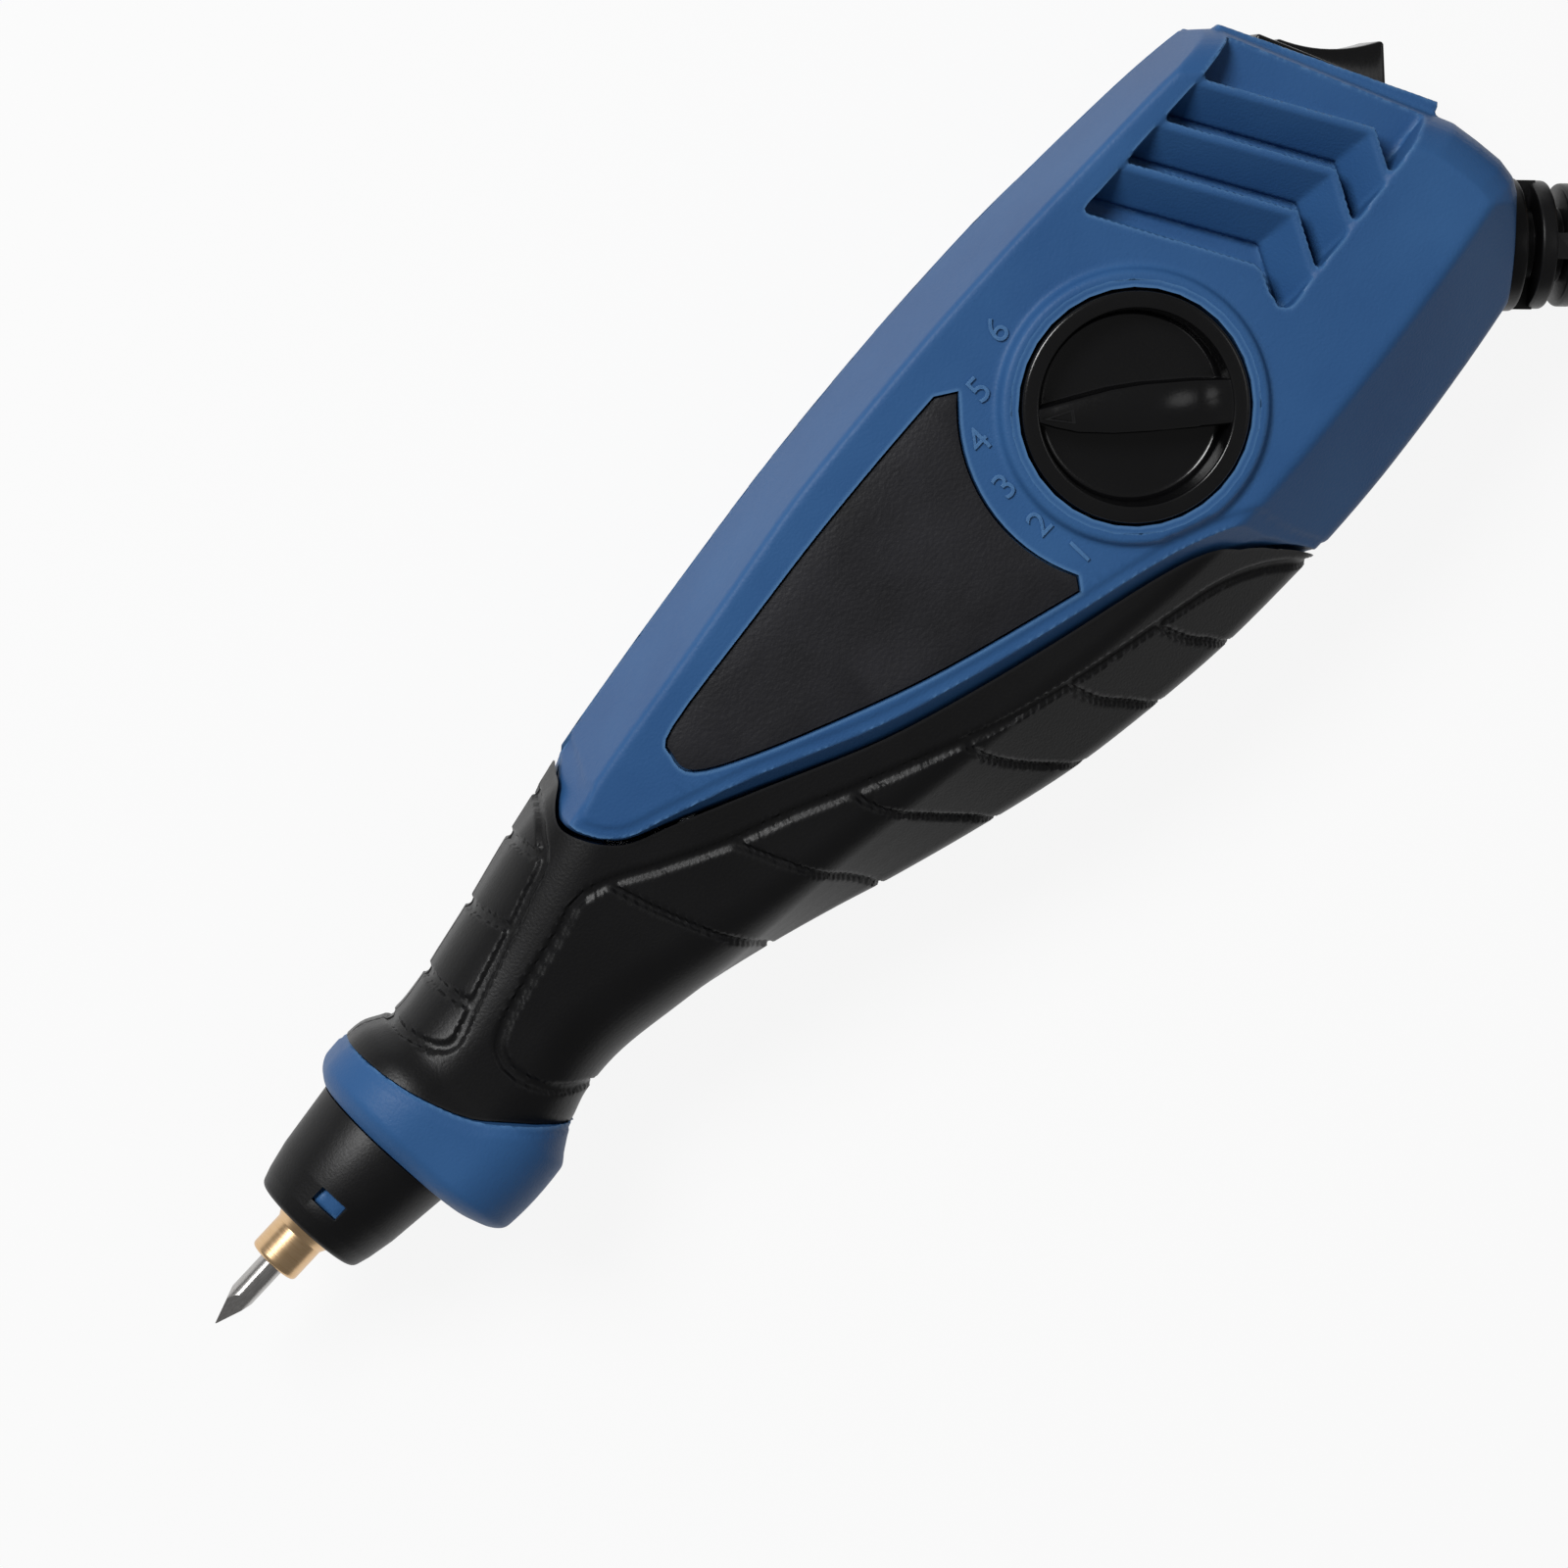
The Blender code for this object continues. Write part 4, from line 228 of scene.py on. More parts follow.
def makeCamera():
    side, top, back = viewAxes()
    eye = linked("photoCamera", bpy.data.cameras.new("photoCamera"))
    turn = Matrix((side, top, back)).transposed().to_4x4()
    turn.translation = toFloor @ (Vector(camera["lookAt"]) + back * camera["away"])
    eye.matrix_world = turn
    eye.data.lens = camera["lens"]
    eye.data.sensor_width = camera["sensor"]
    eye.data.clip_start = camera["near"]
    bpy.context.scene.camera = eye


# Each lamp: how far to the picture's right, up and towards the eye, its size and its power
lamps = {
    "keyLamp": ((-0.36, 0.34, 0.90), 0.40, 8.8),
    "fillLamp": ((0.70, 0.05, 0.75), 0.30, 0.3),
}


def makeLights():
    side, top, back = viewAxes()
    centre = toFloor @ Vector(camera["lookAt"])
    for name, (away, size, power) in lamps.items():
        lamp = linked(name, bpy.data.lights.new(name, "AREA"))
        lamp.data.shape = "DISK"
        lamp.data.size = size
        lamp.data.energy = power
        outward = side * away[0] + top * away[1] + back * away[2]
        lamp.location = centre + outward
        lamp.rotation_mode = "QUATERNION"
        lamp.rotation_quaternion = (-outward).to_track_quat("-Z", "Y")
    world = bpy.data.worlds.new("studio")
    world.use_nodes = True
    sky = world.node_tree.nodes["Background"]
    sky.inputs["Color"].default_value = (1, 1, 1, 1)
    sky.inputs["Strength"].default_value = studio["sky"]
    bpy.context.scene.world = world
    bpy.context.scene.view_settings.view_transform = "Standard"


# White paper: the eye and mirrors see it white, and it still takes a soft shadow
def makeFloor():
    material = bpy.data.materials.new("whitePaper")
    material.use_nodes = True
    nodes = material.node_tree.nodes
    shader = nodes["Principled BSDF"]
    shader.inputs["Base Color"].default_value = toLinear(studio["paper"])
    shader.inputs["Roughness"].default_value = studio["matt"]
    rays = addNode(nodes, "ShaderNodeLightPath")
    seen = addNode(nodes, "ShaderNodeMath", {0: rays.outputs["Is Camera Ray"],
                                             1: rays.outputs["Is Glossy Ray"]}, operation="ADD")
    seen = addNode(nodes, "ShaderNodeMath", {0: seen.outputs[0],
                                             1: rays.outputs["Is Transmission Ray"]},
                   operation="ADD", use_clamp=True)
    share = addNode(nodes, "ShaderNodeMath", {0: seen.outputs[0], 1: studio["white"]},
                    operation="MULTIPLY")
    glow = addNode(nodes, "ShaderNodeEmission", {"Color": (1, 1, 1, 1), "Strength": 1.0})
    mix = addNode(nodes, "ShaderNodeMixShader", {0: share.outputs[0], 1: shader.outputs[0],
                                                 2: glow.outputs[0]})
    nodes.id_data.links.new(mix.outputs[0], nodes["Material Output"].inputs["Surface"])
    sheet = bmesh.new()
    bmesh.ops.create_grid(sheet, x_segments=1, y_segments=1, size=studio["halfWidth"])
    mesh = bpy.data.meshes.new("floor")
    sheet.to_mesh(mesh)
    sheet.free()
    mesh.materials.append(material)
    linked("floor", mesh)


makeCamera()
makeLights()
makeFloor()
print("camera, lamps and floor are set")


# Making pieces

def toObject(shape, name):
    mesh = bpy.data.meshes.new(name)
    shape.to_mesh(mesh)
    shape.free()
    return linked(name, mesh)


# The modifiers so far become the piece's own mesh
def settle(piece):
    bpy.context.view_layer.update()
    ready = piece.evaluated_get(bpy.context.evaluated_depsgraph_get())
    mesh = bpy.data.meshes.new_from_object(ready)
    piece.modifiers.clear()
    piece.data = mesh
    return piece


def combine(piece, shape, operation="DIFFERENCE"):
    tool = shape if isinstance(shape, bpy.types.Object) else toObject(shape, "tool")
    step = piece.modifiers.new("combine", "BOOLEAN")
    step.operation = operation
    step.solver = "EXACT"
    step.object = tool
    settle(piece)
    bpy.data.objects.remove(tool)
    return piece


# A cut can leave a pinhole, and the net needs a closed piece
def closeUp(piece):
    shape = bmesh.new()
    shape.from_mesh(piece.data)
    bmesh.ops.remove_doubles(shape, verts=shape.verts, dist=2 * weld)
    bmesh.ops.dissolve_degenerate(shape, edges=shape.edges, dist=weld)
    bmesh.ops.holes_fill(shape, edges=shape.edges, sides=0)
    shape.to_mesh(piece.data)
    shape.free()
    return piece


# Moulded corners: an even net over the piece, pulled back to its surface and eased a little
def soften(piece, net, easing):
    closeUp(piece)
    crisp = linked("crisp", piece.data.copy())
    remesh = piece.modifiers.new("net", "REMESH")
    remesh.mode = "VOXEL"
    remesh.voxel_size = net
    snap = piece.modifiers.new("snap", "SHRINKWRAP")
    snap.target = crisp
    ease = piece.modifiers.new("ease", "SMOOTH")
    ease.factor = 0.5
    ease.iterations = easing
    settle(piece)
    bpy.data.objects.remove(crisp)
    return piece


def thin(piece, most):
    count = 2 * len(piece.data.polygons)
    if count > most:
        step = piece.modifiers.new("thin", "DECIMATE")
        step.ratio = most / count
        settle(piece)
    return piece


# Each vertex goes inwards by the depth that depthAt gives for its place
def sinkBy(piece, depthAt):
    moves = []
    for corner in piece.data.vertices:
        depth = depthAt(corner.co)
        if depth:
            moves.append((corner, corner.co - corner.normal * depth))
    for corner, spot in moves:
        corner.co = spot
    return piece


def searchTree(points):
    tree = KDTree(len(points))
    for i, point in enumerate(points):
        tree.insert(point, i)
    tree.balance()
    return tree


# Channels along lines of points on the surface: (points, half width, depth) each
def channelField(channels, slope=0.3):
    spots = [(point, width, depth) for points, width, depth in channels for point in points]
    tree = searchTree([point for point, _, _ in spots])
    reach = max(width for _, width, _ in spots) + slope

    def depthAt(spot):
        deepest = 0.0
        for _, i, away in tree.find_range(spot, reach):
            _, width, depth = spots[i]
            share = min(max((width + slope - away) / slope, 0), 1)
            deepest = max(deepest, depth * share * share * (3 - 2 * share))
        return deepest
    return depthAt


def softEdges(piece, width, segments=3, angle=35):
    step = piece.modifiers.new("softEdges", "BEVEL")
    step.width = width
    step.segments = segments
    step.limit_method = "ANGLE"
    step.angle_limit = radians(angle)
    return settle(piece)


def place(piece, body, material, stands=(), roundOff=40, smooth=True):
    piece.data.transform(toFloor)
    piece.data.materials.clear()
    piece.data.materials.append(material)
    if smooth:
        piece.data.shade_smooth()
        piece.data.set_sharp_from_angle(angle=radians(roundOff))
    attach(piece, body)
    if stands:
        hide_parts(*stands)
    return piece


# A closed skin through rings of points: each ring is extruded from the last and moved to its place
def loft(rings):
    shape = bmesh.new()
    corners = [shape.verts.new(point) for point in rings[0]]
    start = shape.faces.new(corners)
    edges = list(start.edges)
    for ring in rings[1:]:
        grown = bmesh.ops.extrude_edge_only(shape, edges=edges)["geom"]
        fresh = {item for item in grown if isinstance(item, bmesh.types.BMVert)}
        following = []
        for corner in corners:
            following.append(next(edge.other_vert(corner) for edge in corner.link_edges
                                  if edge.other_vert(corner) in fresh))
        for corner, point in zip(following, ring):
            corner.co = point
        edges = [item for item in grown if isinstance(item, bmesh.types.BMEdge)
                 and item.verts[0] in fresh and item.verts[1] in fresh]
        corners = following
    shape.faces.new(corners)
    bmesh.ops.recalc_face_normals(shape, faces=shape.faces)
    return shape


def prism(outline, low, high):
    return loft([[(x, y, level) for x, y in outline] for level in (low, high)])


def block(xSpan, ySpan, zSpan):
    (x0, x1), (y0, y1) = xSpan, ySpan
    return prism(((x0, y0), (x1, y0), (x1, y1), (x0, y1)), *zSpan)


# A profile of (along, radius) spun round an axis along X or Z
def lathe(profile, steps=64, axis="X", centre=(0, 0)):
    shape = bmesh.new()
    corners = []
    for along, radius in profile:
        point = (along, radius, 0) if axis == "X" else (radius, 0, along)
        corners.append(shape.verts.new(point))
    pairs = list(zip(corners, corners[1:]))
    if profile[0][1] > 0:
        pairs.append((corners[-1], corners[0]))
    edges = [shape.edges.new(pair) for pair in pairs]
    bmesh.ops.spin(shape, geom=corners + edges, cent=(0, 0, 0), steps=steps, angle=2 * pi,
                   axis=(1, 0, 0) if axis == "X" else (0, 0, 1), use_merge=True)
    bmesh.ops.remove_doubles(shape, verts=shape.verts, dist=weld)
    bmesh.ops.dissolve_degenerate(shape, edges=shape.edges, dist=weld)
    bmesh.ops.recalc_face_normals(shape, faces=shape.faces)
    shift = (0, *centre) if axis == "X" else (*centre, 0)
    bmesh.ops.translate(shape, verts=shape.verts, vec=shift)
    return shape


def rod(span, radius, axis="X", centre=(0, 0), steps=48):
    return lathe([(span[0], 0), (span[0], radius), (span[1], radius), (span[1], 0)],
                 steps, axis, centre)


# The most of each side that a rounded corner takes
sideShare = 0.48


# A profile with its inner corners rounded: each corner has a radius and gets a few points
def rounded(profile, steps=4):
    points = []
    count = len(profile)
    for i, (along, radius, corner) in enumerate(profile):
        here = Vector((along, radius))
        if corner <= 0 or i in (0, count - 1):
            points.append(tuple(here))
            continue
        before = Vector(profile[i - 1][:2]) - here
        after = Vector(profile[i + 1][:2]) - here
        turn = pi - before.angle(after)
        reach = min(corner * tan(turn / 2), before.length * sideShare, after.length * sideShare)
        first, last = here + before.normalized() * reach, here + after.normalized() * reach
        for k in range(steps + 1):
            t = k / steps
            points.append(tuple(first * (1 - t) ** 2 + here * 2 * t * (1 - t) + last * t * t))
    return points


def cadCopy(node):
    shape = bmesh.new()
    shape.from_mesh(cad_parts[node].data)
    bmesh.ops.transform(shape, matrix=toAxis, verts=shape.verts)
    bmesh.ops.remove_doubles(shape, verts=shape.verts, dist=weld / 2)
    return toObject(shape, "copy")


# The body's sections

# Half sections along the body. Each row holds the station, the reach at the seam, four corners
# (y, h) from the upper side round to the lower side, and three corner radii.
housing = {
    "sections": (
        (-77.92, 14.69, 11.2, 14.09, -8.0, 13.9, -14.99, 6.5, -14.59, 0.9, 2.0, 3.0),
        (-75.04, 15.3, 11.69, 14.51, -9.0, 14.51, -15.81, 6.5, -15.41, 0.9, 2.0, 3.0),
        (-65.92, 16.71, 13.31, 15.5, -11.49, 15.5, -18.21, 6.5, -17.81, 0.9, 2.0, 3.0),
        (-55.04, 18.19, 14.9, 16.51, -14.01, 16.51, -21.4, 6.8, -21.01, 0.9, 2.0, 3.0),
        (-44.0, 19.51, 16.6, 17.21, -16.51, 17.21, -24.41, 7.2, -23.99, 0.9, 2.0, 3.0),
        (-32.96, 20.74, 18.3, 17.69, -18.3, 17.69, -27.21, 7.51, -26.81, 0.9, 2.0, 3.0),
        (-22.08, 21.59, 19.2, 18.0, -19.4, 18.0, -29.09, 7.79, -28.7, 0.9, 2.0, 3.0),
        (-9.92, 22.2, 19.89, 18.0, -19.79, 18.0, -30.19, 7.99, -29.79, 0.9, 2.0, 3.0),
        (4.0, 22.4, 20.2, 18.0, -19.49, 18.0, -30.4, 7.99, -30.0, 0.9, 2.0, 3.0),
        (12.96, 22.0, 20.16, 18.0, -19.0, 18.0, -30.1, 7.99, -29.7, 0.9, 2.0, 3.0),
        (20.96, 21.59, 20.09, 18.0, -18.39, 18.0, -29.4, 7.99, -29.0, 0.9, 2.0, 3.0),
        (28.0, 21.1, 19.96, 18.0, -17.69, 18.0, -28.61, 7.79, -28.21, 0.9, 2.0, 3.0),
        (33.92, 20.41, 19.4, 18.0, -16.99, 18.0, -27.79, 7.6, -27.39, 0.9, 2.0, 3.0),
        (42.08, 19.0, 18.01, 18.0, -15.81, 18.0, -26.39, 7.4, -25.99, 0.9, 2.0, 3.0),
        (57.92, 15.99, 15.01, 18.0, -13.01, 18.0, -23.01, 7.0, -22.59, 0.9, 2.0, 3.0),
    ),
    "arcShare": 0.98,       # the most of a side that its two arcs take
    "rearLean": 0.945,      # the rear half's flat is a little narrower
    "seam": 0.15,           # half the gap between the halves
    "under": -2.0,          # where an inner block starts, past the middle
    "rearReach": 44.0,      # from the origin to the rear end
    "wall": 2.4,
    "frameRoom": 0.6,
    "net": 0.38,
    "easing": 2,
    "most": 150000,         # triangles
    "rim": 1.3,             # the lowered rim beside the grip: its width, how far it is sunk
    "rimSunk": 0.3,         # and over what width, then the line's depth and half width
    "rimFade": 0.3,
    "rimLine": 0.25,
    "lineHalf": 0.35,
}

softGrip = {
    "sections": (
        (-112.96, 11.4, 10.8, 12.6, -13.01, 12.6, -13.8, 1.21, -13.8, 10.0, 10.0, 1.0),
        (-108.0, 11.2, 10.6, 12.2, -13.01, 12.2, -13.8, 1.21, -13.8, 10.0, 10.0, 1.0),
        (-104.64, 9.5, 9.0, 10.91, -12.8, 11.2, -13.8, 1.21, -13.8, 8.5, 9.5, 1.0),
        (-100.0, 9.7, 9.21, 10.6, -12.59, 10.8, -13.5, 1.21, -13.5, 8.8, 9.5, 1.0),
        (-96.0, 10.51, 9.9, 10.69, -11.7, 10.8, -12.31, 1.21, -12.31, 9.2, 9.5, 1.0),
        (-89.92, 11.69, 11.0, 11.2, -11.4, 11.2, -12.1, 1.21, -12.1, 9.5, 9.5, 1.0),
        (-81.92, 13.51, 12.59, 12.1, -11.8, 11.9, -13.32, 1.8, -13.19, 9.0, 9.0, 2.0),
        (-76.0, 14.69, 13.4, 12.8, -11.89, 12.4, -14.59, 2.5, -14.41, 8.0, 8.0, 3.0),
        (-69.44, 15.99, 14.09, 13.39, -11.89, 12.91, -16.39, 3.29, -16.11, 6.5, 7.0, 4.0),
        (-62.08, 17.0, 14.81, 14.2, -12.31, 13.5, -18.7, 4.19, -18.3, 5.0, 6.0, 4.0),
        (-55.04, 18.01, 15.59, 14.9, -12.89, 14.0, -21.1, 5.0, -20.7, 4.0, 6.0, 4.0),
        (-44.0, 19.31, 16.89, 15.61, -14.59, 14.9, -24.41, 5.9, -23.99, 3.0, 5.0, 4.0),
        (-32.96, 20.61, 18.19, 16.0, -16.2, 15.61, -27.3, 6.5, -26.9, 3.0, 4.0, 4.0),
        (-22.08, 21.39, 19.0, 16.2, -17.81, 16.0, -29.09, 6.8, -28.7, 3.0, 4.0, 4.0),
        (-9.92, 22.11, 19.8, 16.2, -19.3, 16.0, -30.4, 7.0, -30.0, 3.0, 4.0, 4.0),
        (5.92, 22.0, 19.8, 16.2, -20.31, 15.8, -30.8, 7.2, -30.4, 3.0, 4.0, 4.0),
    ),
    "skin": 1.5,
    "net": 0.34,
    "easing": 2,
    "most": 150000,
    "lineEnds": (-112.9, 5.9),
    # channels as (station, share of the way round from the upper seam to the lower one), with
    # their half widths and depths
    "wide": (0.42, 0.42),
    "narrow": (0.2, 0.45),
    "wideLines": (
        ((-104.8, 0.0), (-104.7, 0.1), (-104.4, 0.2), (-103.4, 0.3), (-101.8, 0.343), (-99.8, 0.34),
         (-97.2, 0.33), (-93.5, 0.315), (-88.4, 0.295), (-84.0, 0.276), (-80.2, 0.26), (-78.2, 0.21),
         (-76.4, 0.14), (-75.2, 0.0)),
        ((-98.2, 0.0), (-98.2, 0.15), (-97.8, 0.25), (-97.1, 0.325)),
        ((-89.4, 0.0), (-89.4, 0.11), (-88.9, 0.2), (-88.0, 0.29)),
        ((-80.9, 0.0), (-80.8, 0.12), (-80.4, 0.2), (-79.8, 0.25)),
        ((-94.3, 1.0), (-94.6, 0.92), (-95.4, 0.83), (-96.6, 0.764), (-98.0, 0.686), (-99.0, 0.608),
         (-99.4, 0.541), (-99.1, 0.494), (-98.0, 0.458), (-95.0, 0.44), (-90.0, 0.425),
         (-84.4, 0.41), (-82.2, 0.398), (-80.0, 0.4), (-77.5, 0.42), (-75.2, 0.448),
         (-71.1, 0.5), (-64.8, 0.56), (-57.5, 0.603), (-51.6, 0.638), (-45.0, 0.668),
         (-39.2, 0.691), (-33.0, 0.713), (-26.8, 0.73), (-20.5, 0.748), (-15.2, 0.762),
         (-8.0, 0.787), (-3.0, 0.826), (1.0, 0.885), (3.0, 0.94), (3.6, 1.0)),
    ),
    "narrowLines": (
        ((-77.1, 0.425), (-76.6, 0.47), (-75.6, 0.55), (-73.5, 0.68), (-71.0, 0.82), (-69.5, 1.0)),
        ((-64.8, 0.56), (-63.9, 0.589), (-62.6, 0.65), (-60.5, 0.74), (-58.0, 0.84), (-55.5, 1.0)),
        ((-51.6, 0.638), (-50.9, 0.692), (-49.5, 0.739), (-46.8, 0.81), (-43.5, 0.89), (-40.0, 1.0)),
        ((-39.2, 0.691), (-38.5, 0.75), (-36.4, 0.815), (-33.0, 0.887), (-29.5, 0.95), (-28.0, 1.0)),
        ((-26.8, 0.73), (-25.5, 0.8), (-23.4, 0.851), (-21.3, 0.901), (-19.0, 0.95), (-17.5, 1.0)),
        ((-15.2, 0.762), (-13.7, 0.829), (-12.2, 0.866), (-10.7, 0.907), (-9.0, 0.95), (-7.5, 1.0)),
    ),
}

noseCollar = {
    "sections": (
        (-115.36, 9.61, 9.3, 10.6, -11.61, 10.6, -12.59, 1.01, -12.59, 9.3, 9.3, 1.0),
        (-114.4, 10.71, 10.39, 12.01, -14.01, 12.01, -15.2, 1.01, -15.2, 10.3, 10.3, 1.0),
        (-112.96, 11.29, 11.0, 13.0, -15.2, 13.0, -16.29, 1.21, -16.29, 10.5, 10.5, 1.0),
        (-104.32, 11.2, 10.91, 12.91, -15.2, 12.91, -16.2, 1.21, -16.2, 10.5, 10.5, 1.0),
        (-102.56, 11.09, 10.71, 12.6, -14.2, 12.6, -15.05, 1.21, -15.05, 10.5, 10.0, 1.0),
        (-100.0, 11.0, 10.6, 12.4, -12.8, 12.4, -13.71, 1.21, -13.71, 10.5, 10.0, 1.0),
        (-96.0, 11.0, 10.6, 12.4, -12.59, 12.4, -13.41, 1.21, -13.41, 10.5, 10.0, 1.0),
    ),
    "spigot": (-125.16, -100.0, 7.0),       # from, to, radius
    "bores": ((-90.0, 7.9), (-113.86, 5.3), (-130.0, 0.0)),     # each from its place to the next
    "net": 0.36,
    "easing": 3,
    "most": 90000,
}

# Plan outlines, (x, y)
panelEdge = (
    (-66.56, 40.01), (-68.0, 20.0), (-69.28, 16.4), (-71.52, 14.58), (-74.24, 13.19),
    (-75.68, 11.89), (-75.84, 10.62), (-75.36, 9.0), (-74.24, 6.99), (-72.0, 4.79),
    (-66.4, 2.04), (-55.84, -3.59), (-45.28, -8.91), (-34.56, -12.89), (-23.84, -16.2),
    (-12.96, -19.09), (-6.56, -21.31), (-0.8, -24.5), (3.04, -28.61), (4.64, -33.01),
    (4.64, -44.99),
)
collarEdge = ((-110.08, 30.4), (-109.44, 11.0), (-106.72, -1.31), (-103.36, -6.9),
              (-99.52, -12.59), (-96.0, -18.24), (-94.4, -30.4))
rearEdge = ((30.88, 24.51), (37.28, 18.3), (48.16, -7.9), (48.64, -11.19), (48.96, -14.59),
            (48.64, -16.81), (47.84, -18.21), (38.08, -27.24), (30.08, -33.99))
panelDraft = ((-20.0, 5.2), (-11.0, 0.0), (11.0, 0.0), (20.0, 5.2))
rearRoll = ((-20.0, 0.811), (-17.41, 0.903), (-14.99, 0.956), (-11.0, 0.989), (-7.0, 1.0),
            (7.0, 1.0), (11.0, 0.989), (14.99, 0.956), (17.41, 0.903), (20.0, 0.811))
rearFocus = -4.01
panelTip = {"share": 0.35, "run": 25.0}         # the draft is gentler round the panel's tip


# One more smooth step between each pair of rows, or several
def smoothRows(rows, steps):
    result = []
    for i in range(len(rows) - 1):
        before, here, there, after = (rows[max(i - 1, 0)], rows[i], rows[i + 1],
                                      rows[min(i + 2, len(rows) - 1)])
        run = there[0] - here[0] or 1.0
        for k in range(steps):
            t = k / steps
            row = []
            for column in range(len(here)):
                if column == 0:
                    row.append(here[0] + run * t)
                    continue
                lean0 = (there[column] - before[column]) / ((there[0] - before[0]) or 1) * run
                lean1 = (after[column] - here[column]) / ((after[0] - here[0]) or 1) * run
                row.append((2 * t ** 3 - 3 * t ** 2 + 1) * here[column]
                           + (t ** 3 - 2 * t ** 2 + t) * lean0
                           + (3 * t ** 2 - 2 * t ** 3) * there[column]
                           + (t ** 3 - t ** 2) * lean1)
            result.append(tuple(row))
    result.append(tuple(rows[-1]))
    return result


def smoothLine(points, steps):
    places = [Vector(point) for point in points]
    places = [places[0] * 2 - places[1]] + places + [places[-1] * 2 - places[-2]]
    line = []
    for a, b, c, d in zip(places, places[1:], places[2:], places[3:]):
        for k in range(steps):
            t = k / steps
            line.append((b * 2 + (c - a) * t + (a * 2 - b * 5 + c * 4 - d) * t * t
                         + (b * 3 - a - c * 3 + d) * t ** 3) / 2)
    line.append(places[-2])
    return line


def crossing(first, second):
    (ay, ah), a = first
    (by, bh), b = second
    scale = ay * bh - ah * by
    return Vector(((a * bh - b * ah) / scale, (ay * b - by * a) / scale))


# The corners drawn in by a depth, then joined by arcs and straight runs of even steps
def halfOutline(row, depth, level, arcSteps, runSteps):
    x, ya, yb, hb, yc, hc, ye, he, yf, *radii = row
    corners = ((ya, 0), (yb, hb), (yc, hc), (ye, he), (yf, 0))
    lines = [((0, 1), level)]
    for (y0, h0), (y1, h1) in zip(corners, corners[1:]):
        run = hypot(y1 - y0, h1 - h0)
        across, upward = (h1 - h0) / run, (y0 - y1) / run
        lines.append(((across, upward), across * y0 + upward * h0 - depth))
    lines.append(((0, 1), level))
    corners = [crossing(a, b) for a, b in zip(lines, lines[1:])]
    radii = [0] + [max(radius - depth, gap) for radius in radii] + [0]
    parts = [[corners[0]]]
    for i in (1, 2, 3):
        toBefore = (corners[i - 1] - corners[i]).normalized()
        toAfter = (corners[i + 1] - corners[i]).normalized()
        turn = pi - toBefore.angle(toAfter)
        reach = radii[i] * tan(turn / 2)
        for k in (i - 1, i + 1):
            side = (corners[k] - corners[i]).length
            reach = min(reach, housing["arcShare"] * side * radii[i] / (radii[i] + radii[k]))
        centre = corners[i] + (toBefore + toAfter).normalized() * reach / sin(turn / 2)
        start = corners[i] + toBefore * reach - centre
        swing = -turn if toBefore.cross(toAfter) > 0 else turn
        parts.append([centre + Matrix.Rotation(swing * k / arcSteps, 2) @ start
                      for k in range(arcSteps + 1)])
    parts.append([corners[4]])
    outline = []
    for part, following in zip(parts, parts[1:]):
        outline += part
        for k in range(1, runSteps):
            outline.append(part[-1].lerp(following[0], k / runSteps))
    return x, outline + parts[-1]


def leaned(row):
    x, ya, yb, hb, yc, *rest = row
    return (x, ya, yb * housing["rearLean"], hb, yc * housing["rearLean"], *rest)


def halfLoft(sections, depth, side, level=housing["seam"], steps=4, arcSteps=6, runSteps=5):
    rings = []
    for row in smoothRows(sections, steps):
        x, outline = halfOutline(row if side > 0 else leaned(row), depth, level, arcSteps, runSteps)
        rings.append([(x, y, side * h) for y, h in outline])
    return loft(rings)


def wholeLoft(sections, depth=0.0, steps=5, arcSteps=6, runSteps=5):
    rings = []
    for row in smoothRows(sections, steps):
        x, outline = halfOutline(row, depth, 0, arcSteps, runSteps)
        rings.append([(x, y, h) for y, h in outline] + [(x, y, -h) for y, h in outline[-2:0:-1]])
    return loft(rings)


# A plan line moved to the left of its direction of travel, by a distance for each point
def shifted(line, distances):
    moved = []
    for i, (point, distance) in enumerate(zip(line, distances)):
        run = (Vector(line[min(i + 1, len(line) - 1)]) - Vector(line[max(i - 1, 0)])).normalized()
        moved.append((point[0] - run.y * distance, point[1] + run.x * distance))
    return moved


# A closed outline spread outwards or drawn in all round
def spreadLoop(ring, spread):
    loop = [ring[-1], *ring, ring[0]]
    return shifted(loop, [spread] * len(loop))[1:-1]


def draftShare(x, front):
    return min(1, panelTip["share"] + (x - front) / panelTip["run"])


# The room on the panel's side of the grip's edge, and the same for the rear end and the collar
def panelRoom(inward=0.0):
    line = smoothLine(panelEdge, 4)
    front = min(point.x for point in line)
    rings = []
    for level, draft in smoothRows(panelDraft, 3):
        edge = shifted(line, [draftShare(point.x, front) * draft + inward for point in line])
        rings.append([(x, y, level) for x, y in edge + [(farOut, edge[-1][1]), (farOut, edge[0][1])]])
    return loft(rings)


def rearRoom(size=1.0):
    rings = []
    for level, share in smoothRows(rearRoll, 3):
        outline = [*rearEdge, (-farOut, rearEdge[-1][1]), (-farOut, rearEdge[0][1])]
        rings.append([(x * share * size, rearFocus + (y - rearFocus) * share * size, level)
                      for x, y in outline])
    return loft(rings)


def collarRoom(inward=0.0):
    line = smoothLine(collarEdge, 4)
    edge = shifted(line, [inward] * len(line))
    return prism([*edge, (-farOut, edge[-1][1]), (-farOut, edge[0][1])], -past, past)


# The two rear facets: each starts at a corner of the rear edge, and its origin is a share along
def facet(first, share):
    (x0, y0), (x1, y1) = rearEdge[first:first + 2]
    return (Matrix.Translation((x0 + (x1 - x0) * share, y0 + (y1 - y0) * share, 0))
            @ Matrix.Rotation(atan2(x1 - x0, y0 - y1), 4, "Z"))


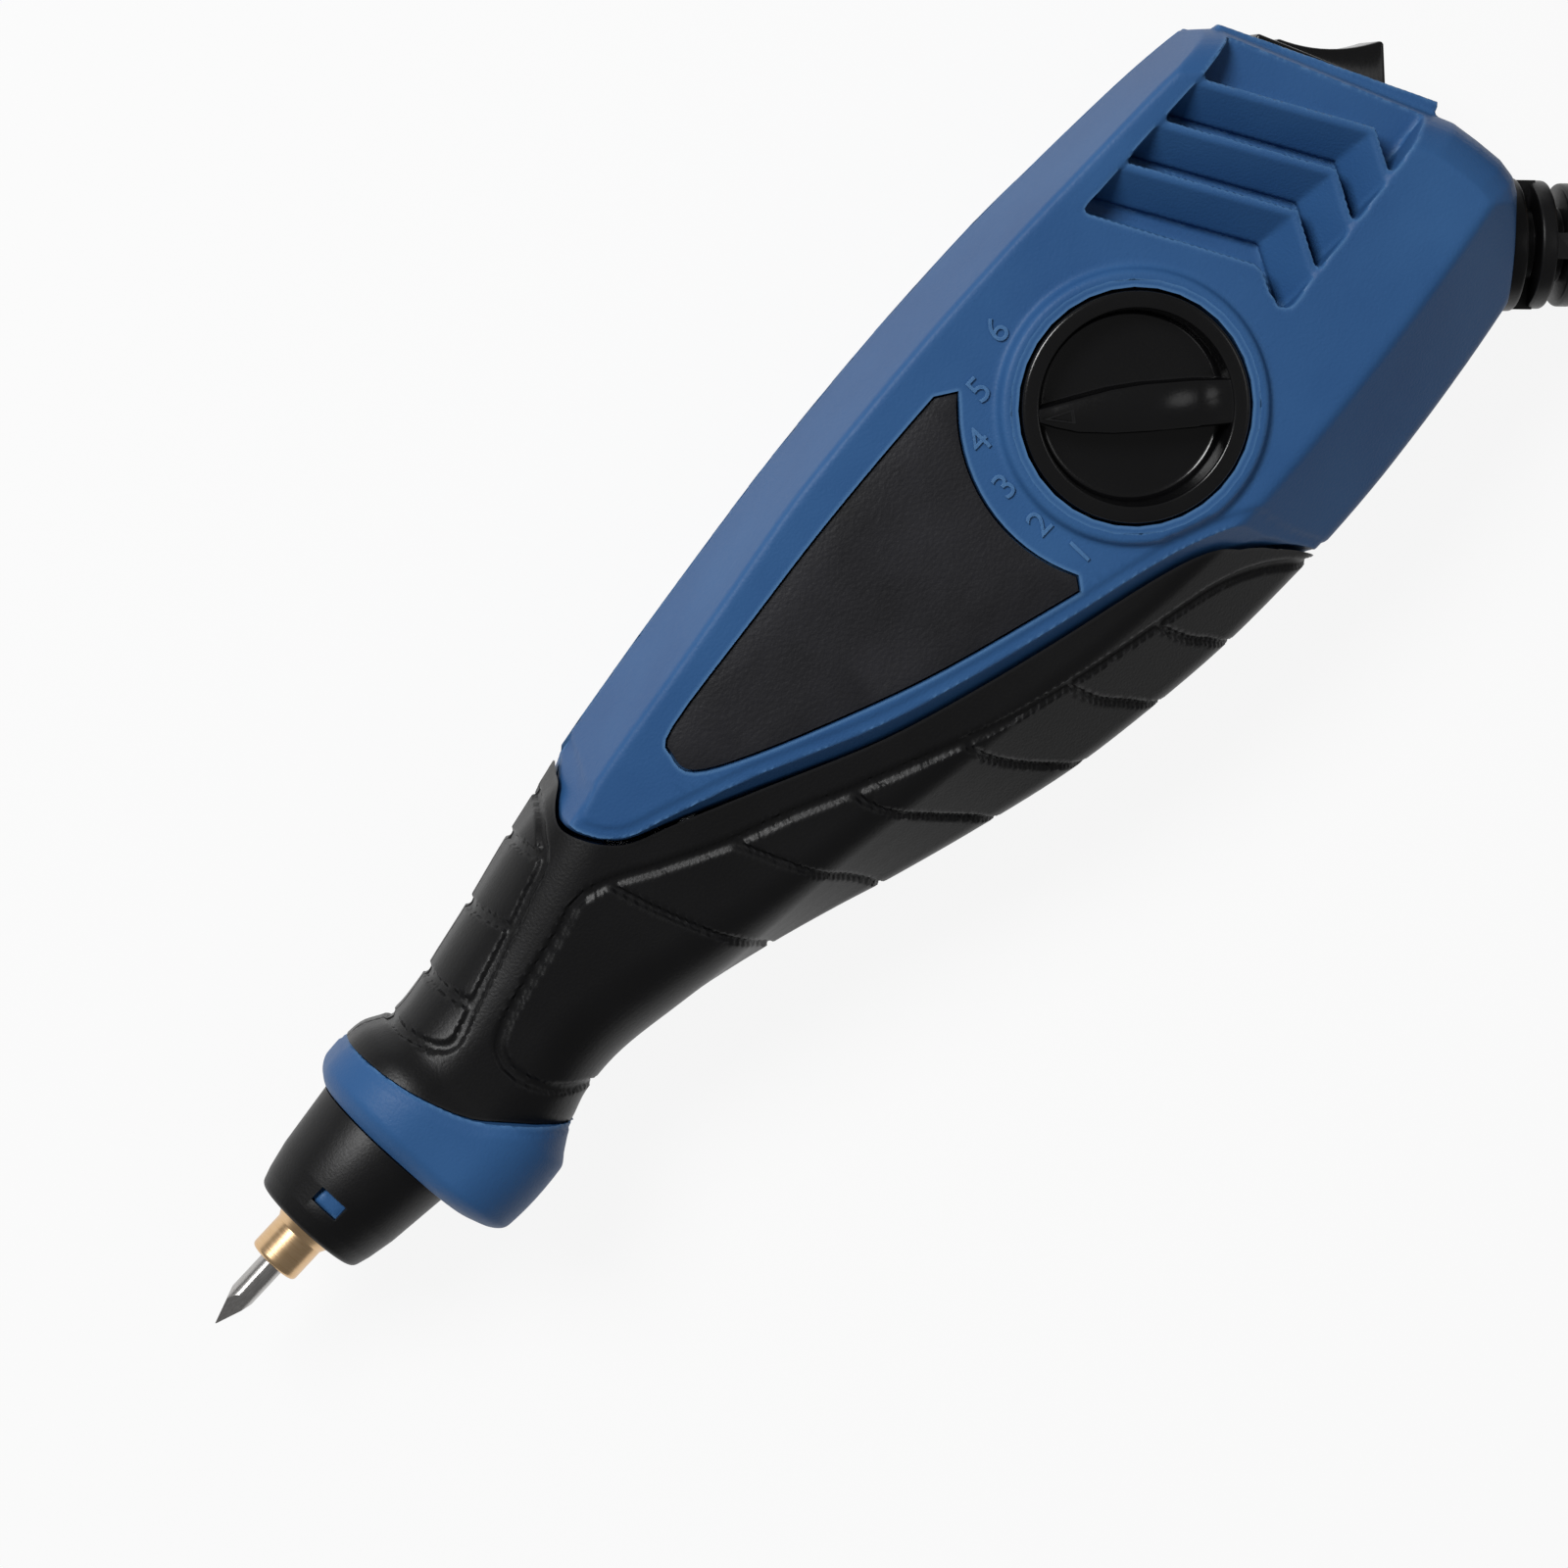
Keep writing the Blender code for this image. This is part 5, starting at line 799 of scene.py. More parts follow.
switchPlace = facet(1, 0.52)
outletPlace = facet(6, 0.474)


def moved(shape, matrix):
    bmesh.ops.transform(shape, matrix=matrix, verts=shape.verts)
    return shape


# Housing: a thick outer skin per half, and the inner frame that carries the works

dial = {"ring": ((15.0, 0), (15.0, 15.3), (18.0, 15.3), (18.7, 14.95), (19.2, 14.6), (19.2, 0)),
        "y": -1.9, "well": 13.0, "wellLow": 5.0, "rim": 12.65, "top": 19.6, "rimWidth": 1.9,
        "dish": 15.6, "base": 13.7, "shaft": 2.6, "foot": 9.2, "bore": (9.0, 12.8, 1.5),
        "angle": 137.0, "edge": 0.12}
dialCentre = (0, dial["y"])
label = {
    "corners": ((-18.55, -11.40), (-34.56, -6.51), (-45.14, -2.40), (-55.68, 2.31), (-61.45, 5.78),
                (-61.76, 8.67), (-59.51, 10.62), (-44.65, 12.41), (-33.94, 13.55),
                (-23.36, 14.29), (-14.41, 14.67)),
    "arc": 19.5, "arcSteps": 16, "from": 129.0, "to": 205.0, "sink": 0.5, "thick": 0.8,
    "pocket": 14.0, "edge": 0.2,
}
vents = {
    "room": ((11.2, 16.9), (20.3, -0.9), (20.35, -1.9), (19.2, -4.4), (18.85, -6.1), (19.4, -6.95),
             (20.3, -7.05), (22.5, -6.75), (35.2, -5.5), (43.5, -4.5), (60.0, -2.6), (60.0, 18.0),
             (33.8, 17.4), (23.8, 17.2)),
    "ridge": ((17.6, 17.0), (26.97, -0.4), (23.79, -6.29)), "pitch": 6.15, "count": 3,
    "runOn": (0.15, 0.5),       # of the ridge's first and last run, past the walls
    "top": 0.8, "crest": 17.75, "foot": 14.0, "low": 12.6, "slot": 1.1, "sunk": 1.2, "floorBack": 0.4,
}
switch = {"lip": ((0.3, 15.3), (1.35, -11.2)), "lipRoot": -4.0, "lipSpan": (8.0, 9.8),
          "hole": (-14.0, 5.0, 9.7, 6.75), "pivot": -1.0, "tilt": 20.0, "halfWidth": 4.6,
          "crest": (4.15, 5.9), "shoulder": (0.4, 0.25), "dip": 3.1, "dipSteps": 12, "wing": 6.5,
          "heel": -0.8, "sole": (-4.0, 4.2), "bodyEdge": 0.3, "keyEdge": 0.35}
outlet = {"span": (-20.0, 5.0), "radius": 5.5}
shellScrews = {"places": ((-2.5, 16.1), (-2.5, -16.4), (24.0, 16.5), (24.0, -15.0)),
               "counterbore": 3.1, "head": 2.8, "headTop": -6.3, "headThick": 2.2, "shank": 1.4,
               "shankTop": 8.0, "slot": (0.35, 1.7, 1.1)}


def twin(piece):
    return linked("twin", piece.data.copy())


def labelOutline(spread):
    arc = []
    for k in range(label["arcSteps"] + 1):
        turn = radians(label["from"] + (label["to"] - label["from"]) * k / label["arcSteps"])
        arc.append((label["arc"] * cos(turn), label["arc"] * sin(turn) + dial["y"]))
    return spreadLoop([tuple(point) for point in smoothLine(label["corners"], 4)] + arc, spread)


# The louvre's ridge in plan, run on a little past both walls
def ridgeLine(number):
    a, b, c = (Vector((x + number * vents["pitch"], y)) for x, y in vents["ridge"])
    first, last = vents["runOn"]
    return [a + (a - b) * first, b, c + (c - b) * last]


def ventBlade(number):
    back = vents["top"]
    lean = back - vents["pitch"] + vents["slot"]
    outline = ((back, vents["low"]), (back, vents["crest"]), (0, vents["crest"]),
               (lean, vents["foot"]), (lean, vents["low"]))
    return loft([[(x + across, y, h) for across, h in outline] for x, y in ridgeLine(number)])


def ventRoom(spread, low, high):
    return prism(spreadLoop(vents["room"], spread), low, high)


def coverBlock(side, depth, coarse=False):
    steps, arcs, runs = (2, 3, 2) if coarse else (4, 6, 5)
    level = housing["under"] if depth > 0 else housing["seam"]
    cover = toObject(halfLoft(housing["sections"], depth, side, level, steps, arcs, runs), "cover")
    combine(cover, panelRoom(depth), "INTERSECT")
    return combine(cover, rearRoom(1 - depth / housing["rearReach"]), "INTERSECT")


def addVents(skin, inside):
    combine(skin, ventRoom(0, vents["low"], past))
    floor = coverBlock(1, vents["sunk"], coarse=True)
    line = [point + Vector((vents["floorBack"], 0)) for point in ridgeLine(vents["count"] - 1)]
    behind = [tuple(point) for point in line] + [(farOut, line[-1].y), (farOut, line[0].y)]
    combine(floor, prism(behind, vents["low"] - 2 * over, past), "INTERSECT")
    combine(floor, ventRoom(-gap, 0, past), "INTERSECT")
    combine(floor, inside)
    combine(skin, floor, "UNION")
    for number in range(vents["count"]):
        louvre = toObject(ventBlade(number), "louvre")
        combine(louvre, ventRoom(-gap, 0, past), "INTERSECT")
        combine(skin, louvre, "UNION")


# The rim beside the grip lies a little lower than the panel, past a fine line
def rimField():
    line = [point.to_3d() for point in smoothLine(panelEdge, 24)]
    front = min(point.x for point in line)
    tree = searchTree(line)
    drafts = smoothRows(panelDraft, 6)
    top = drafts[-1][0]

    def depthAt(spot):
        nearest, _, away = tree.find(Vector((spot.x, spot.y, 0)))
        level = min(max(spot.z, -top), top)
        below = max((row for row in drafts if row[0] <= level), key=lambda row: row[0])
        above = min((row for row in drafts if row[0] >= level), key=lambda row: row[0])
        share = (level - below[0]) / ((above[0] - below[0]) or 1)
        draft = below[1] + (above[1] - below[1]) * share
        inside = away - draftShare(nearest.x, front) * draft - housing["rim"]
        if inside > 2 * housing["rimFade"]:
            return 0.0
        low = min(max(0.5 - inside / housing["rimFade"], 0), 1)
        groove = max(0.0, 1 - abs(inside) / housing["lineHalf"])
        return max(housing["rimSunk"] * low, housing["rimLine"] * groove)
    return depthAt


def makeHousing(name, side, node):
    inside = coverBlock(side, housing["wall"], coarse=True)
    skin = coverBlock(side, 0.0)
    combine(skin, twin(inside))
    if side > 0:
        addVents(skin, twin(inside))
        combine(skin, lathe(dial["ring"], 128, "Z", dialCentre), "UNION")
        combine(skin, rod((dial["wellLow"], past), dial["well"], "Z", dialCentre, 128))
    else:
        for centre in shellScrews["places"]:
            combine(skin, rod((-past, 0), shellScrews["counterbore"], "Z", centre))
    (u0, v0), (u1, v1) = switch["lip"]
    low, high = (side * reach for reach in switch["lipSpan"])
    lip = prism(((switch["lipRoot"], v0), (u0, v0), (u1, v1), (switch["lipRoot"], v1)), low, high)
    combine(skin, moved(lip, switchPlace), "UNION")
    inward, outward, half, width = switch["hole"]
    combine(skin, moved(block((inward, outward), (-half, half), (-width, width)), switchPlace))
    combine(skin, moved(rod(outlet["span"], outlet["radius"]), outletPlace))
    soften(skin, housing["net"], housing["easing"])
    sinkBy(skin, rimField())
    thin(skin, housing["most"])
    if side > 0:
        combine(skin, prism(labelOutline(gap), label["pocket"], past))
    place(skin, "housing", blueNylon, (node,))
    skin.name = name
    grown = coverBlock(side, -housing["frameRoom"], coarse=True)
    combine(grown, inside)
    inner = combine(cadCopy(node), grown)
    inner.name = name + "Frame"
    place(inner, "housing", blueNylon)


makeHousing("housingFront", 1, "front_shell")
makeHousing("housingRear", -1, "rear_shell")
print("housing is made")


# Label plate, bare

def makeLabel():
    plate = toObject(prism(labelOutline(0), 0, past), "labelPlate")
    under = housing["under"]
    combine(plate, halfLoft(housing["sections"], label["sink"], 1, under), "INTERSECT")
    combine(plate, halfLoft(housing["sections"], label["sink"] + label["thick"], 1, under - 2 * over))
    softEdges(plate, label["edge"])
    place(plate, "housing", grainedLabel, ("label_plate",))


makeLabel()
print("label plate is made")


# Grips

def gripChart(side):
    chart = []
    for row in smoothRows(softGrip["sections"], 10):
        x, outline = halfOutline(row if side > 0 else leaned(row), 0, 0, arcSteps=6, runSteps=8)
        reach = [0.0]
        for (y0, h0), (y1, h1) in zip(outline, outline[1:]):
            reach.append(reach[-1] + hypot(y1 - y0, h1 - h0))
        chart.append((x, outline, reach))
    return chart


def onGrip(chart, x, share, side):
    i = 0
    while i < len(chart) - 2 and chart[i + 1][0] < x:
        i += 1
    spots = []
    for _, outline, reach in chart[i:i + 2]:
        want = share * reach[-1]
        k = 0
        while k < len(reach) - 2 and reach[k + 1] < want:
            k += 1
        part = (want - reach[k]) / ((reach[k + 1] - reach[k]) or 1)
        spots.append(Vector(outline[k]).lerp(Vector(outline[k + 1]), part))
    part = (x - chart[i][0]) / (chart[i + 1][0] - chart[i][0])
    y, h = spots[0].lerp(spots[1], part)
    return Vector((x, y, side * h))


def makeGrip(name, side, node):
    grip = toObject(halfLoft(softGrip["sections"], 0, side, steps=6, arcSteps=16, runSteps=3), name)
    combine(grip, halfLoft(softGrip["sections"], softGrip["skin"], side, housing["under"],
                           steps=2, arcSteps=3, runSteps=2))
    soften(grip, softGrip["net"], softGrip["easing"])
    chart = gripChart(side)
    front, rear = softGrip["lineEnds"]
    channels = []
    for lines, (width, depth) in ((softGrip["wideLines"], softGrip["wide"]),
                                  (softGrip["narrowLines"], softGrip["narrow"])):
        for line in lines:
            points = [onGrip(chart, min(max(x, front), rear), min(max(share, 0), 1), side)
                      for x, share in smoothLine(line, 40)]
            channels.append((points, width, depth))
    sinkBy(grip, channelField(channels))
    combine(grip, panelRoom(-gap))
    combine(grip, collarRoom(-gap))
    thin(grip, softGrip["most"])
    place(grip, "housing", softRubber, (node,))


makeGrip("gripFront", 1, "front_grip")
makeGrip("gripRear", -1, "rear_grip")
print("grips are made")


# Nose: collar, cap, chuck, bit and set screw

nose = {
    # the collar's chamfer: width, depth, the crease's depth and half width, least radius
    "chamfer": (1.2, 0.5, 0.2, 0.35, 9.5),
    "lug": (-124.8, -123.5, 1.3, 7.1, 1.1),         # from, to, half width, top, across
    "window": (-125.1, -123.2, 1.75, 1.2),          # from, to, half width, across
    # the cap's profile: along, radius, rounding
    "capOutside": ((-115.66, 9.1, 0.2), (-123.3, 8.2, 3.0), (-126.4, 7.55, 1.5), (-128.46, 6.9, 1.0),
                   (-128.46, 4.3, 0.4)),
    "capInside": ((-125.46, 4.3, 0), (-125.46, 7.3, 0.3), (-115.66, 7.3, 0)), "capEdge": 0.15,
}
chuckProfile = ((-114.0, 0, 0), (-114.0, 1.8, 0), (-134.16, 1.8, 0.2), (-134.16, 3.1, 0.55),
                (-129.76, 3.1, 0.35), (-128.46, 3.85, 0.1), (-108.96, 3.85, 0.3), (-108.96, 2.3, 0),
                (-112.0, 2.3, 0), (-112.0, 0, 0))
bit = {"tip": -143.56, "point": 4.6, "blunt": 0.05, "radius": 1.5, "rear": -115.96, "turn": 85.0,
       "flat": (-127.96, -115.0, -1.1)}
setScrew = {"centre": (-131.86, 0), "radius": 1.0, "room": 0.06, "head": -3.1, "end": -1.8,
            "socket": 0.45, "socketEnd": -2.2, "edge": 0.08}


def nearCollarEdge():
    tree = searchTree([point.to_3d() for point in smoothLine(collarEdge, 24)])
    width, depth, crease, half, least = nose["chamfer"]

    def depthAt(spot):
        _, _, away = tree.find(Vector((spot.x, spot.y, 0)))
        if away > width + half or hypot(spot.y, spot.z) < least:
            return 0.0
        return depth * max(1 - away / width, 0) + crease * max(0.0, 1 - abs(away - width) / half)
    return depthAt


def makeCollar():
    collar = toObject(wholeLoft(noseCollar["sections"], 0, 6, 18, 3), "noseCollar")
    combine(collar, collarRoom(), "INTERSECT")
    front, rear, radius = noseCollar["spigot"]
    combine(collar, rod((front, rear), radius, steps=96), "UNION")
    front, rear, half, top, across = nose["lug"]
    for side in (-1, 1):
        lug = block((front, rear), (across - half, across + half), (0, side * top))
        combine(collar, lug, "UNION")
    bore = [(noseCollar["bores"][0][0], 0)]
    for (here, radius), (there, _) in zip(noseCollar["bores"], noseCollar["bores"][1:]):
        bore += [(here, radius), (there, radius)]
    combine(collar, lathe([*bore, noseCollar["bores"][-1]], 96))
    soften(collar, noseCollar["net"], noseCollar["easing"])
    sinkBy(collar, nearCollarEdge())
    thin(collar, noseCollar["most"])
    place(collar, "housing", blueNylon, ("nose_collar",))


def makeCap():
    profile = rounded(nose["capOutside"] + nose["capInside"], 8)
    cap = toObject(lathe(profile, 128), "noseCap")
    front, rear, half, across = nose["window"]
    combine(cap, block((front, rear), (across - half, across + half), (-past, past)))
    softEdges(cap, nose["capEdge"], 2, 50)
    place(cap, "housing", grainedAbs, ("nose_cap",))


def makeChuck():
    centre, radius = setScrew["centre"], setScrew["radius"]
    body = toObject(lathe(rounded(chuckProfile, 6), 96), "chuck")
    combine(body, rod((-past, 0), radius + setScrew["room"], "Z", centre, 32))
    place(body, "striker", turnedBrass, ("chuck",), 30)
    screw = toObject(rod((setScrew["head"], setScrew["end"]), radius, "Z", centre, 32), "setScrew")
    combine(screw, rod((-past, setScrew["socketEnd"]), setScrew["socket"], "Z", centre, 6))
    softEdges(screw, setScrew["edge"], 2)
    place(screw, "striker", groundSteel, ("set_screw",))


# Four ground faces meet at the tip, and the set screw bears on a flat
def makeBit():
    radius = bit["radius"]
    shank = toObject(rod((bit["tip"] - over, bit["rear"]), radius, steps=96), "engravingBit")
    rings = []
    for x in (bit["tip"], bit["rear"] + 2 * over):
        reach = (x - bit["tip"]) * radius / bit["point"] + bit["blunt"]
        ring = []
        for k in range(4):
            turn = radians(bit["turn"] + 45 + 90 * k)
            ring.append((x, reach * 2 ** 0.5 * cos(turn), reach * 2 ** 0.5 * sin(turn)))
        rings.append(ring)
    combine(shank, loft(rings), "INTERSECT")
    front, rear, level = bit["flat"]
    combine(shank, block((front, rear), (-radius - over, radius + over), (-radius - over, level)))
    place(shank, "striker", groundCarbide, ("engraving_bit",), 20)


# The spring is the drawing's coil, copied and put on the housing with a mesh of its own
def makeSpring():
    coil = cadCopy("return_spring")
    coil.name = "returnSpring"
    place(coil, "housing", groundSteel, ("return_spring",))
    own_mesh(coil)


makeCollar()
makeCap()
makeChuck()
makeBit()
makeSpring()
print("nose is made")


# Depth dial: a rimmed black knob with a blade across it, and six raised numbers

blade = {
    # along towards the tip, half width on both sides, height of the shoulders, crown over them
    "rings": ((12.3, -0.05, 0.25, 19.2, 0.0), (11.2, -0.45, 0.85, 19.4, 0.05),
              (9.0, -0.95, 1.7, 19.65, 0.12), (6.6, -1.45, 2.35, 19.85, 0.16),
              (2.75, -2.2, 2.7, 20.0, 0.2), (-1.0, -2.55, 2.75, 20.0, 0.2),
              (-6.6, -2.6, 2.65, 19.95, 0.18), (-7.0, -2.6, 2.62, 19.75, 0.02),
              (-11.5, -2.35, 2.5, 19.25, 0.0), (-12.0, -2.2, 2.35, 19.0, 0.0)),
    "foot": 15.5, "soft": 0.45, "softShare": 0.3,
    # the pointer mark: a triangle with a smaller one cut out of it, between two levels
    "triangle": ((10.4, 0.6), (7.0, -0.3), (6.9, 1.3)), "innerShare": 0.68, "mark": (19.5, 19.97),
}
numbers = {"size": 4.1, "height": 0.3, "bevel": 0.04, "offset": -0.03, "sunk": 0.02, "places": (
    ("1", -15.45, -8.54), ("2", -16.3, -3.09), ("3", -15.98, 2.52), ("4", -14.38, 7.96),
    ("5", -10.39, 11.79), ("6", -4.4, 14.8))}


def makeDial():
    inner = dial["rim"] - dial["rimWidth"]
    profile = [(dial["foot"], 0, 0), (dial["foot"], dial["shaft"], 0), (dial["base"], dial["shaft"], 0),
               (dial["base"], dial["rim"], 0.2), (dial["top"], dial["rim"], 0.55),
               (dial["top"], inner, 0.35), (dial["dish"], inner - 0.5, 0.9), (dial["dish"], 0, 0)]
    knob = toObject(lathe(rounded(profile, 6), 128, "Z", dialCentre), "depthDial")
    turn = Matrix.Translation((*dialCentre, 0)) @ Matrix.Rotation(radians(dial["angle"]), 4, "Z")
    rings = []
    for along, near, far, top, crown in blade["rings"]:
        soft = min(blade["soft"], (far - near) * blade["softShare"])
        rings.append([(along, near, blade["foot"]), (along, near, top - soft),
                      (along, near + soft * 0.35, top - soft * 0.3), (along, near + soft, top),
                      (along, (near + far) / 2, top + crown), (along, far - soft, top),
                      (along, far - soft * 0.35, top - soft * 0.3), (along, far, top - soft),
                      (along, far, blade["foot"])])
    bar = toObject(moved(loft(rings), turn), "bar")
    combine(knob, bar, "UNION")
    softEdges(knob, dial["edge"], 2, 40)
    low, high, radius = dial["bore"]
    combine(knob, rod((low, high), radius, "Z", dialCentre))
    place(knob, "dial", blackAbs, ("depth_dial",), 50)
    corners = blade["triangle"]
    middle = (sum(x for x, _ in corners) / 3, sum(y for _, y in corners) / 3)
    share = blade["innerShare"]
    shrunk = [(middle[0] + (x - middle[0]) * share, middle[1] + (y - middle[1]) * share)
              for x, y in corners]
    low, high = blade["mark"]
    mark = toObject(moved(prism(corners, low, high), turn), "dialMark")
    combine(mark, moved(prism(shrunk, low - over, high + over), turn))
    place(mark, "dial", softRubber, smooth=False)


def makeNumbers():
    parts = bmesh.new()
    for sign, x, y in numbers["places"]:
        words = bpy.data.curves.new("number", "FONT")
        words.body = sign
        words.size = numbers["size"]
        words.align_x = "CENTER"
        words.align_y = "CENTER"
        words.extrude = numbers["height"] / 2
        words.bevel_depth = numbers["bevel"]
        words.offset = numbers["offset"]
        holder = linked("number", words)
        bpy.context.view_layer.update()
        mesh = bpy.data.meshes.new_from_object(
            holder.evaluated_get(bpy.context.evaluated_depsgraph_get()))
        bpy.data.objects.remove(holder)
        mesh.transform(Matrix.Translation((x, y, halfThick + numbers["height"] / 2 - numbers["sunk"])))
        parts.from_mesh(mesh)
    bmesh.ops.remove_doubles(parts, verts=parts.verts, dist=2 * weld)
    bmesh.ops.recalc_face_normals(parts, faces=parts.faces)
    place(toObject(parts, "dialNumbers"), "housing", blueNylon)


makeDial()
makeNumbers()
print("dial is made")


# Rear: rocker switch, shell screws and strain relief

relief = {"length": 42.0, "start": 7.5, "end": 4.4, "ribs": 12, "share": 0.56, "neck": 5.2,
          "flange": (-4.7, -2.7, 7.2), "bore": 3.05, "waistShare": 0.58, "wall": 0.55,
          "web": 1.5, "webRun": 0.6, "webSunk": 0.25}


def makeSwitch():
    body = cadCopy("switch_body")
    body.name = "switchBody"
    softEdges(body, switch["bodyEdge"])
    place(body, "housing", blackAbs, ("switch_body",))
    crest, half = switch["crest"]
    sole, soleHalf = switch["sole"]
    drop, out = switch["shoulder"]
    outline = [(switch["heel"], -switch["wing"]), (crest - drop, -half - out)]
    for k in range(switch["dipSteps"] + 1):
        v = -half + 2 * half * k / switch["dipSteps"]
        outline.append((switch["dip"] + (crest - switch["dip"]) * (v / half) ** 2, v))
    outline += [(crest - drop, half + out), (switch["heel"], switch["wing"]), (sole, soleHalf),
                (sole, -soleHalf)]
    tilt = radians(switch["tilt"])
    swung = []
    for u, v in outline:
        lift = u - switch["pivot"]
        swung.append((switch["pivot"] + lift * cos(tilt) + v * sin(tilt),
                      lift * sin(tilt) - v * cos(tilt)))
    key = toObject(moved(prism(swung, -switch["halfWidth"], switch["halfWidth"]), switchPlace),
                   "rockerKey")
    softEdges(key, switch["keyEdge"], 3, 30)
    place(key, "rocker", blackAbs, ("rocker",))


def makeScrews():
    top, head, shank, end = (shellScrews[key] for key in ("headTop", "head", "shank", "shankTop"))
    low = top - shellScrews["headThick"]
    profile = [(low, 0, 0), (low, head, 0.5), (top, head, 0.1), (top, shank, 0), (end, shank, 0.3),
               (end, 0, 0)]
    narrow, reach, depth = shellScrews["slot"]
    for number, (x, y) in enumerate(shellScrews["places"], 1):
        screw = toObject(lathe(rounded(profile), 48, "Z", (x, y)), "shellScrew%d" % number)
        for across, along in ((narrow, reach), (reach, narrow)):
            combine(screw, block((x - across, x + across), (y - along, y + along),
                                 (low - over, low + depth)))
        place(screw, "housing", groundSteel, ("shell_screw_%d" % number,))


# Ribs on a tapered sleeve; every other gap is bridged above and below, the rest on both sides
def makeRelief():
    pitch = (relief["length"] - gap) / relief["ribs"]
    inward, outward, flange = relief["flange"]
    profile = [(inward, relief["bore"], 0), (inward, flange, 0.3), (outward, flange, 0.3),
               (outward, relief["neck"], 0), (gap, relief["neck"], 0)]
    webs = []
    for k in range(relief["ribs"]):
        begin = gap + pitch * k
        radius = relief["start"] + (relief["end"] - relief["start"]) * k / (relief["ribs"] - 1)
        end = begin + pitch * relief["share"]
        profile += [(begin, radius, 0.45), (end, radius, 0.45)]
        if k < relief["ribs"] - 1:
            waist = max(radius * relief["waistShare"], relief["bore"] + relief["wall"])
            profile += [(end, waist, 0.1), (begin + pitch, waist, 0.1)]
            half = relief["web"] * radius / relief["start"]
            span = (begin + over, begin + pitch + relief["webRun"])
            reach = radius - relief["webSunk"]
            if k % 2:
                webs.append(block(span, (-half, half), (-reach, reach)))
            else:
                webs.append(block(span, (-reach, reach), (-half, half)))
        else:
            profile.append((end, relief["bore"], 0.2))
    sleeve = toObject(moved(lathe(rounded(profile, 4), 72), outletPlace), "strainRelief")
    for web in webs:
        combine(sleeve, moved(web, outletPlace), "UNION")
    combine(sleeve, moved(rod((-past, relief["length"] + over), relief["bore"]), outletPlace))
    place(sleeve, "housing", cableVinyl, ("strain_relief",))


makeSwitch()
makeScrews()
makeRelief()
print("rear end is made")


# Cord, tie and plug

cord = {
    "radius": 2.75, "length": 1.485,
    "inside": (34.5, -13.0, 18.0),
    # the route over the table, in millimetres above it
    "route": ((44.0, -23.3, 18.0), (57.6, -38.0, 18.0), (72.0, -53.6, 18.0), (75.0, -56.8, 18.0),
              (81.26, -63.58, 17.2), (92.85, -71.96, 14.6), (106.87, -76.29, 11.4),
              (121.2, -75.95, 8.2), (134.3, -71.0, 5.6), (143.5, -63.2, 4.1), (149.5, -54.1, 3.55)),
    "centre": (116.5, -31.0), "start": 340.0, "turns": 7, "points": 16,
    "innerRadius": 18.0, "pitch": 6.0, "lift": 0.7, "layer": 5.95,
    # the tail comes back over the coil, and the plug lies on it
    "tail": ((155.78, -29.63, 10.3), (152.96, -17.73, 12.2), (145.07, -7.02, 14.8),
             (133.8, -1.04, 17.6), (121.85, -0.67, 20.0), (113.47, -2.76, 21.05),
             (110.5, -5.44, 21.15), (106.8, -8.8, 21.15)),
}
tie = {"angle": 165.0, "width": 10.0, "thick": 0.4, "reach": (14.65, 42.05), "top": 12.45,
       "outerEdge": 1.2, "innerEdge": 0.9}
plug = {
    # along, width and thickness
    "rings": ((-4.0, 11, 10), (0.0, 13, 11.2), (4.0, 19, 13.4), (9.5, 28, 15.6), (13.5, 30, 16),
              (26.0, 30, 16)),
    "corner": 3.0, "cornerShare": 0.3, "steps": 24, "edge": 0.8, "bladeEdge": 0.4,
    # the blades: width, thickness, length, then how far apart and deep they stand, and each
    # one's hole: radius and distance from its end
    "blade": (6.3, 1.5, 16.5), "spread": 12.7, "root": 3.0, "hole": (1.5, 4.5),
}
onTable = Vector((0, 0, halfThick))     # from levels over the table to levels round the axis


def coilPoint(turn):
    middle = cord["turns"] / 2
    radius = cord["innerRadius"] + cord["pitch"] * abs(turn - middle)
    climb = min(max((turn - middle) * 2 + 0.5, 0), 1)
    climb = climb * climb * (3 - 2 * climb)
    angle = radians(cord["start"]) + 2 * pi * turn
    return Vector((cord["centre"][0] + radius * cos(angle), cord["centre"][1] + radius * sin(angle),
                   cord["radius"] + cord["lift"] + cord["layer"] * climb))


def makeCord():
    angle = radians(cord["start"])
    step = Vector((-sin(angle), cos(angle), 0)) * 2 * cord["radius"]
    count = cord["turns"] * cord["points"]
    points = [Vector(point) for point in cord["route"]] + [coilPoint(0) - step]
    points += [coilPoint(k / cord["points"]) for k in range(count + 1)]
    points += [coilPoint(cord["turns"]) + step] + [Vector(point) for point in cord["tail"]]
    line = bpy.data.curves.new("freeCord", "CURVE")
    line.dimensions = "3D"
    line.bevel_depth = cord["radius"] * mm
    line.bevel_resolution = 5
    line.use_fill_caps = True
    line.resolution_u = 5
    spline = line.splines.new("BEZIER")
    spline.bezier_points.add(len(points) - 1)
    for knot, point in zip(spline.bezier_points, points):
        knot.co = point * mm
        knot.handle_left_type = knot.handle_right_type = "AUTO"
    line.materials.append(cableVinyl)
    piece = linked("freeCord", line)
    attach(piece, "housing")
    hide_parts("cord", "cord_coil", "cord_tail")
    inner = Vector(cord["inside"]) - onTable
    outer = Vector(cord["route"][0]) - onTable
    run = outer - inner
    stub = rod((0, run.length), cord["radius"], steps=32)
    turn = Matrix.Translation(inner) @ Matrix.Rotation(atan2(run.y, run.x), 4, "Z")
    place(toObject(moved(stub, turn), "cordInside"), "housing", cableVinyl)
    return piece


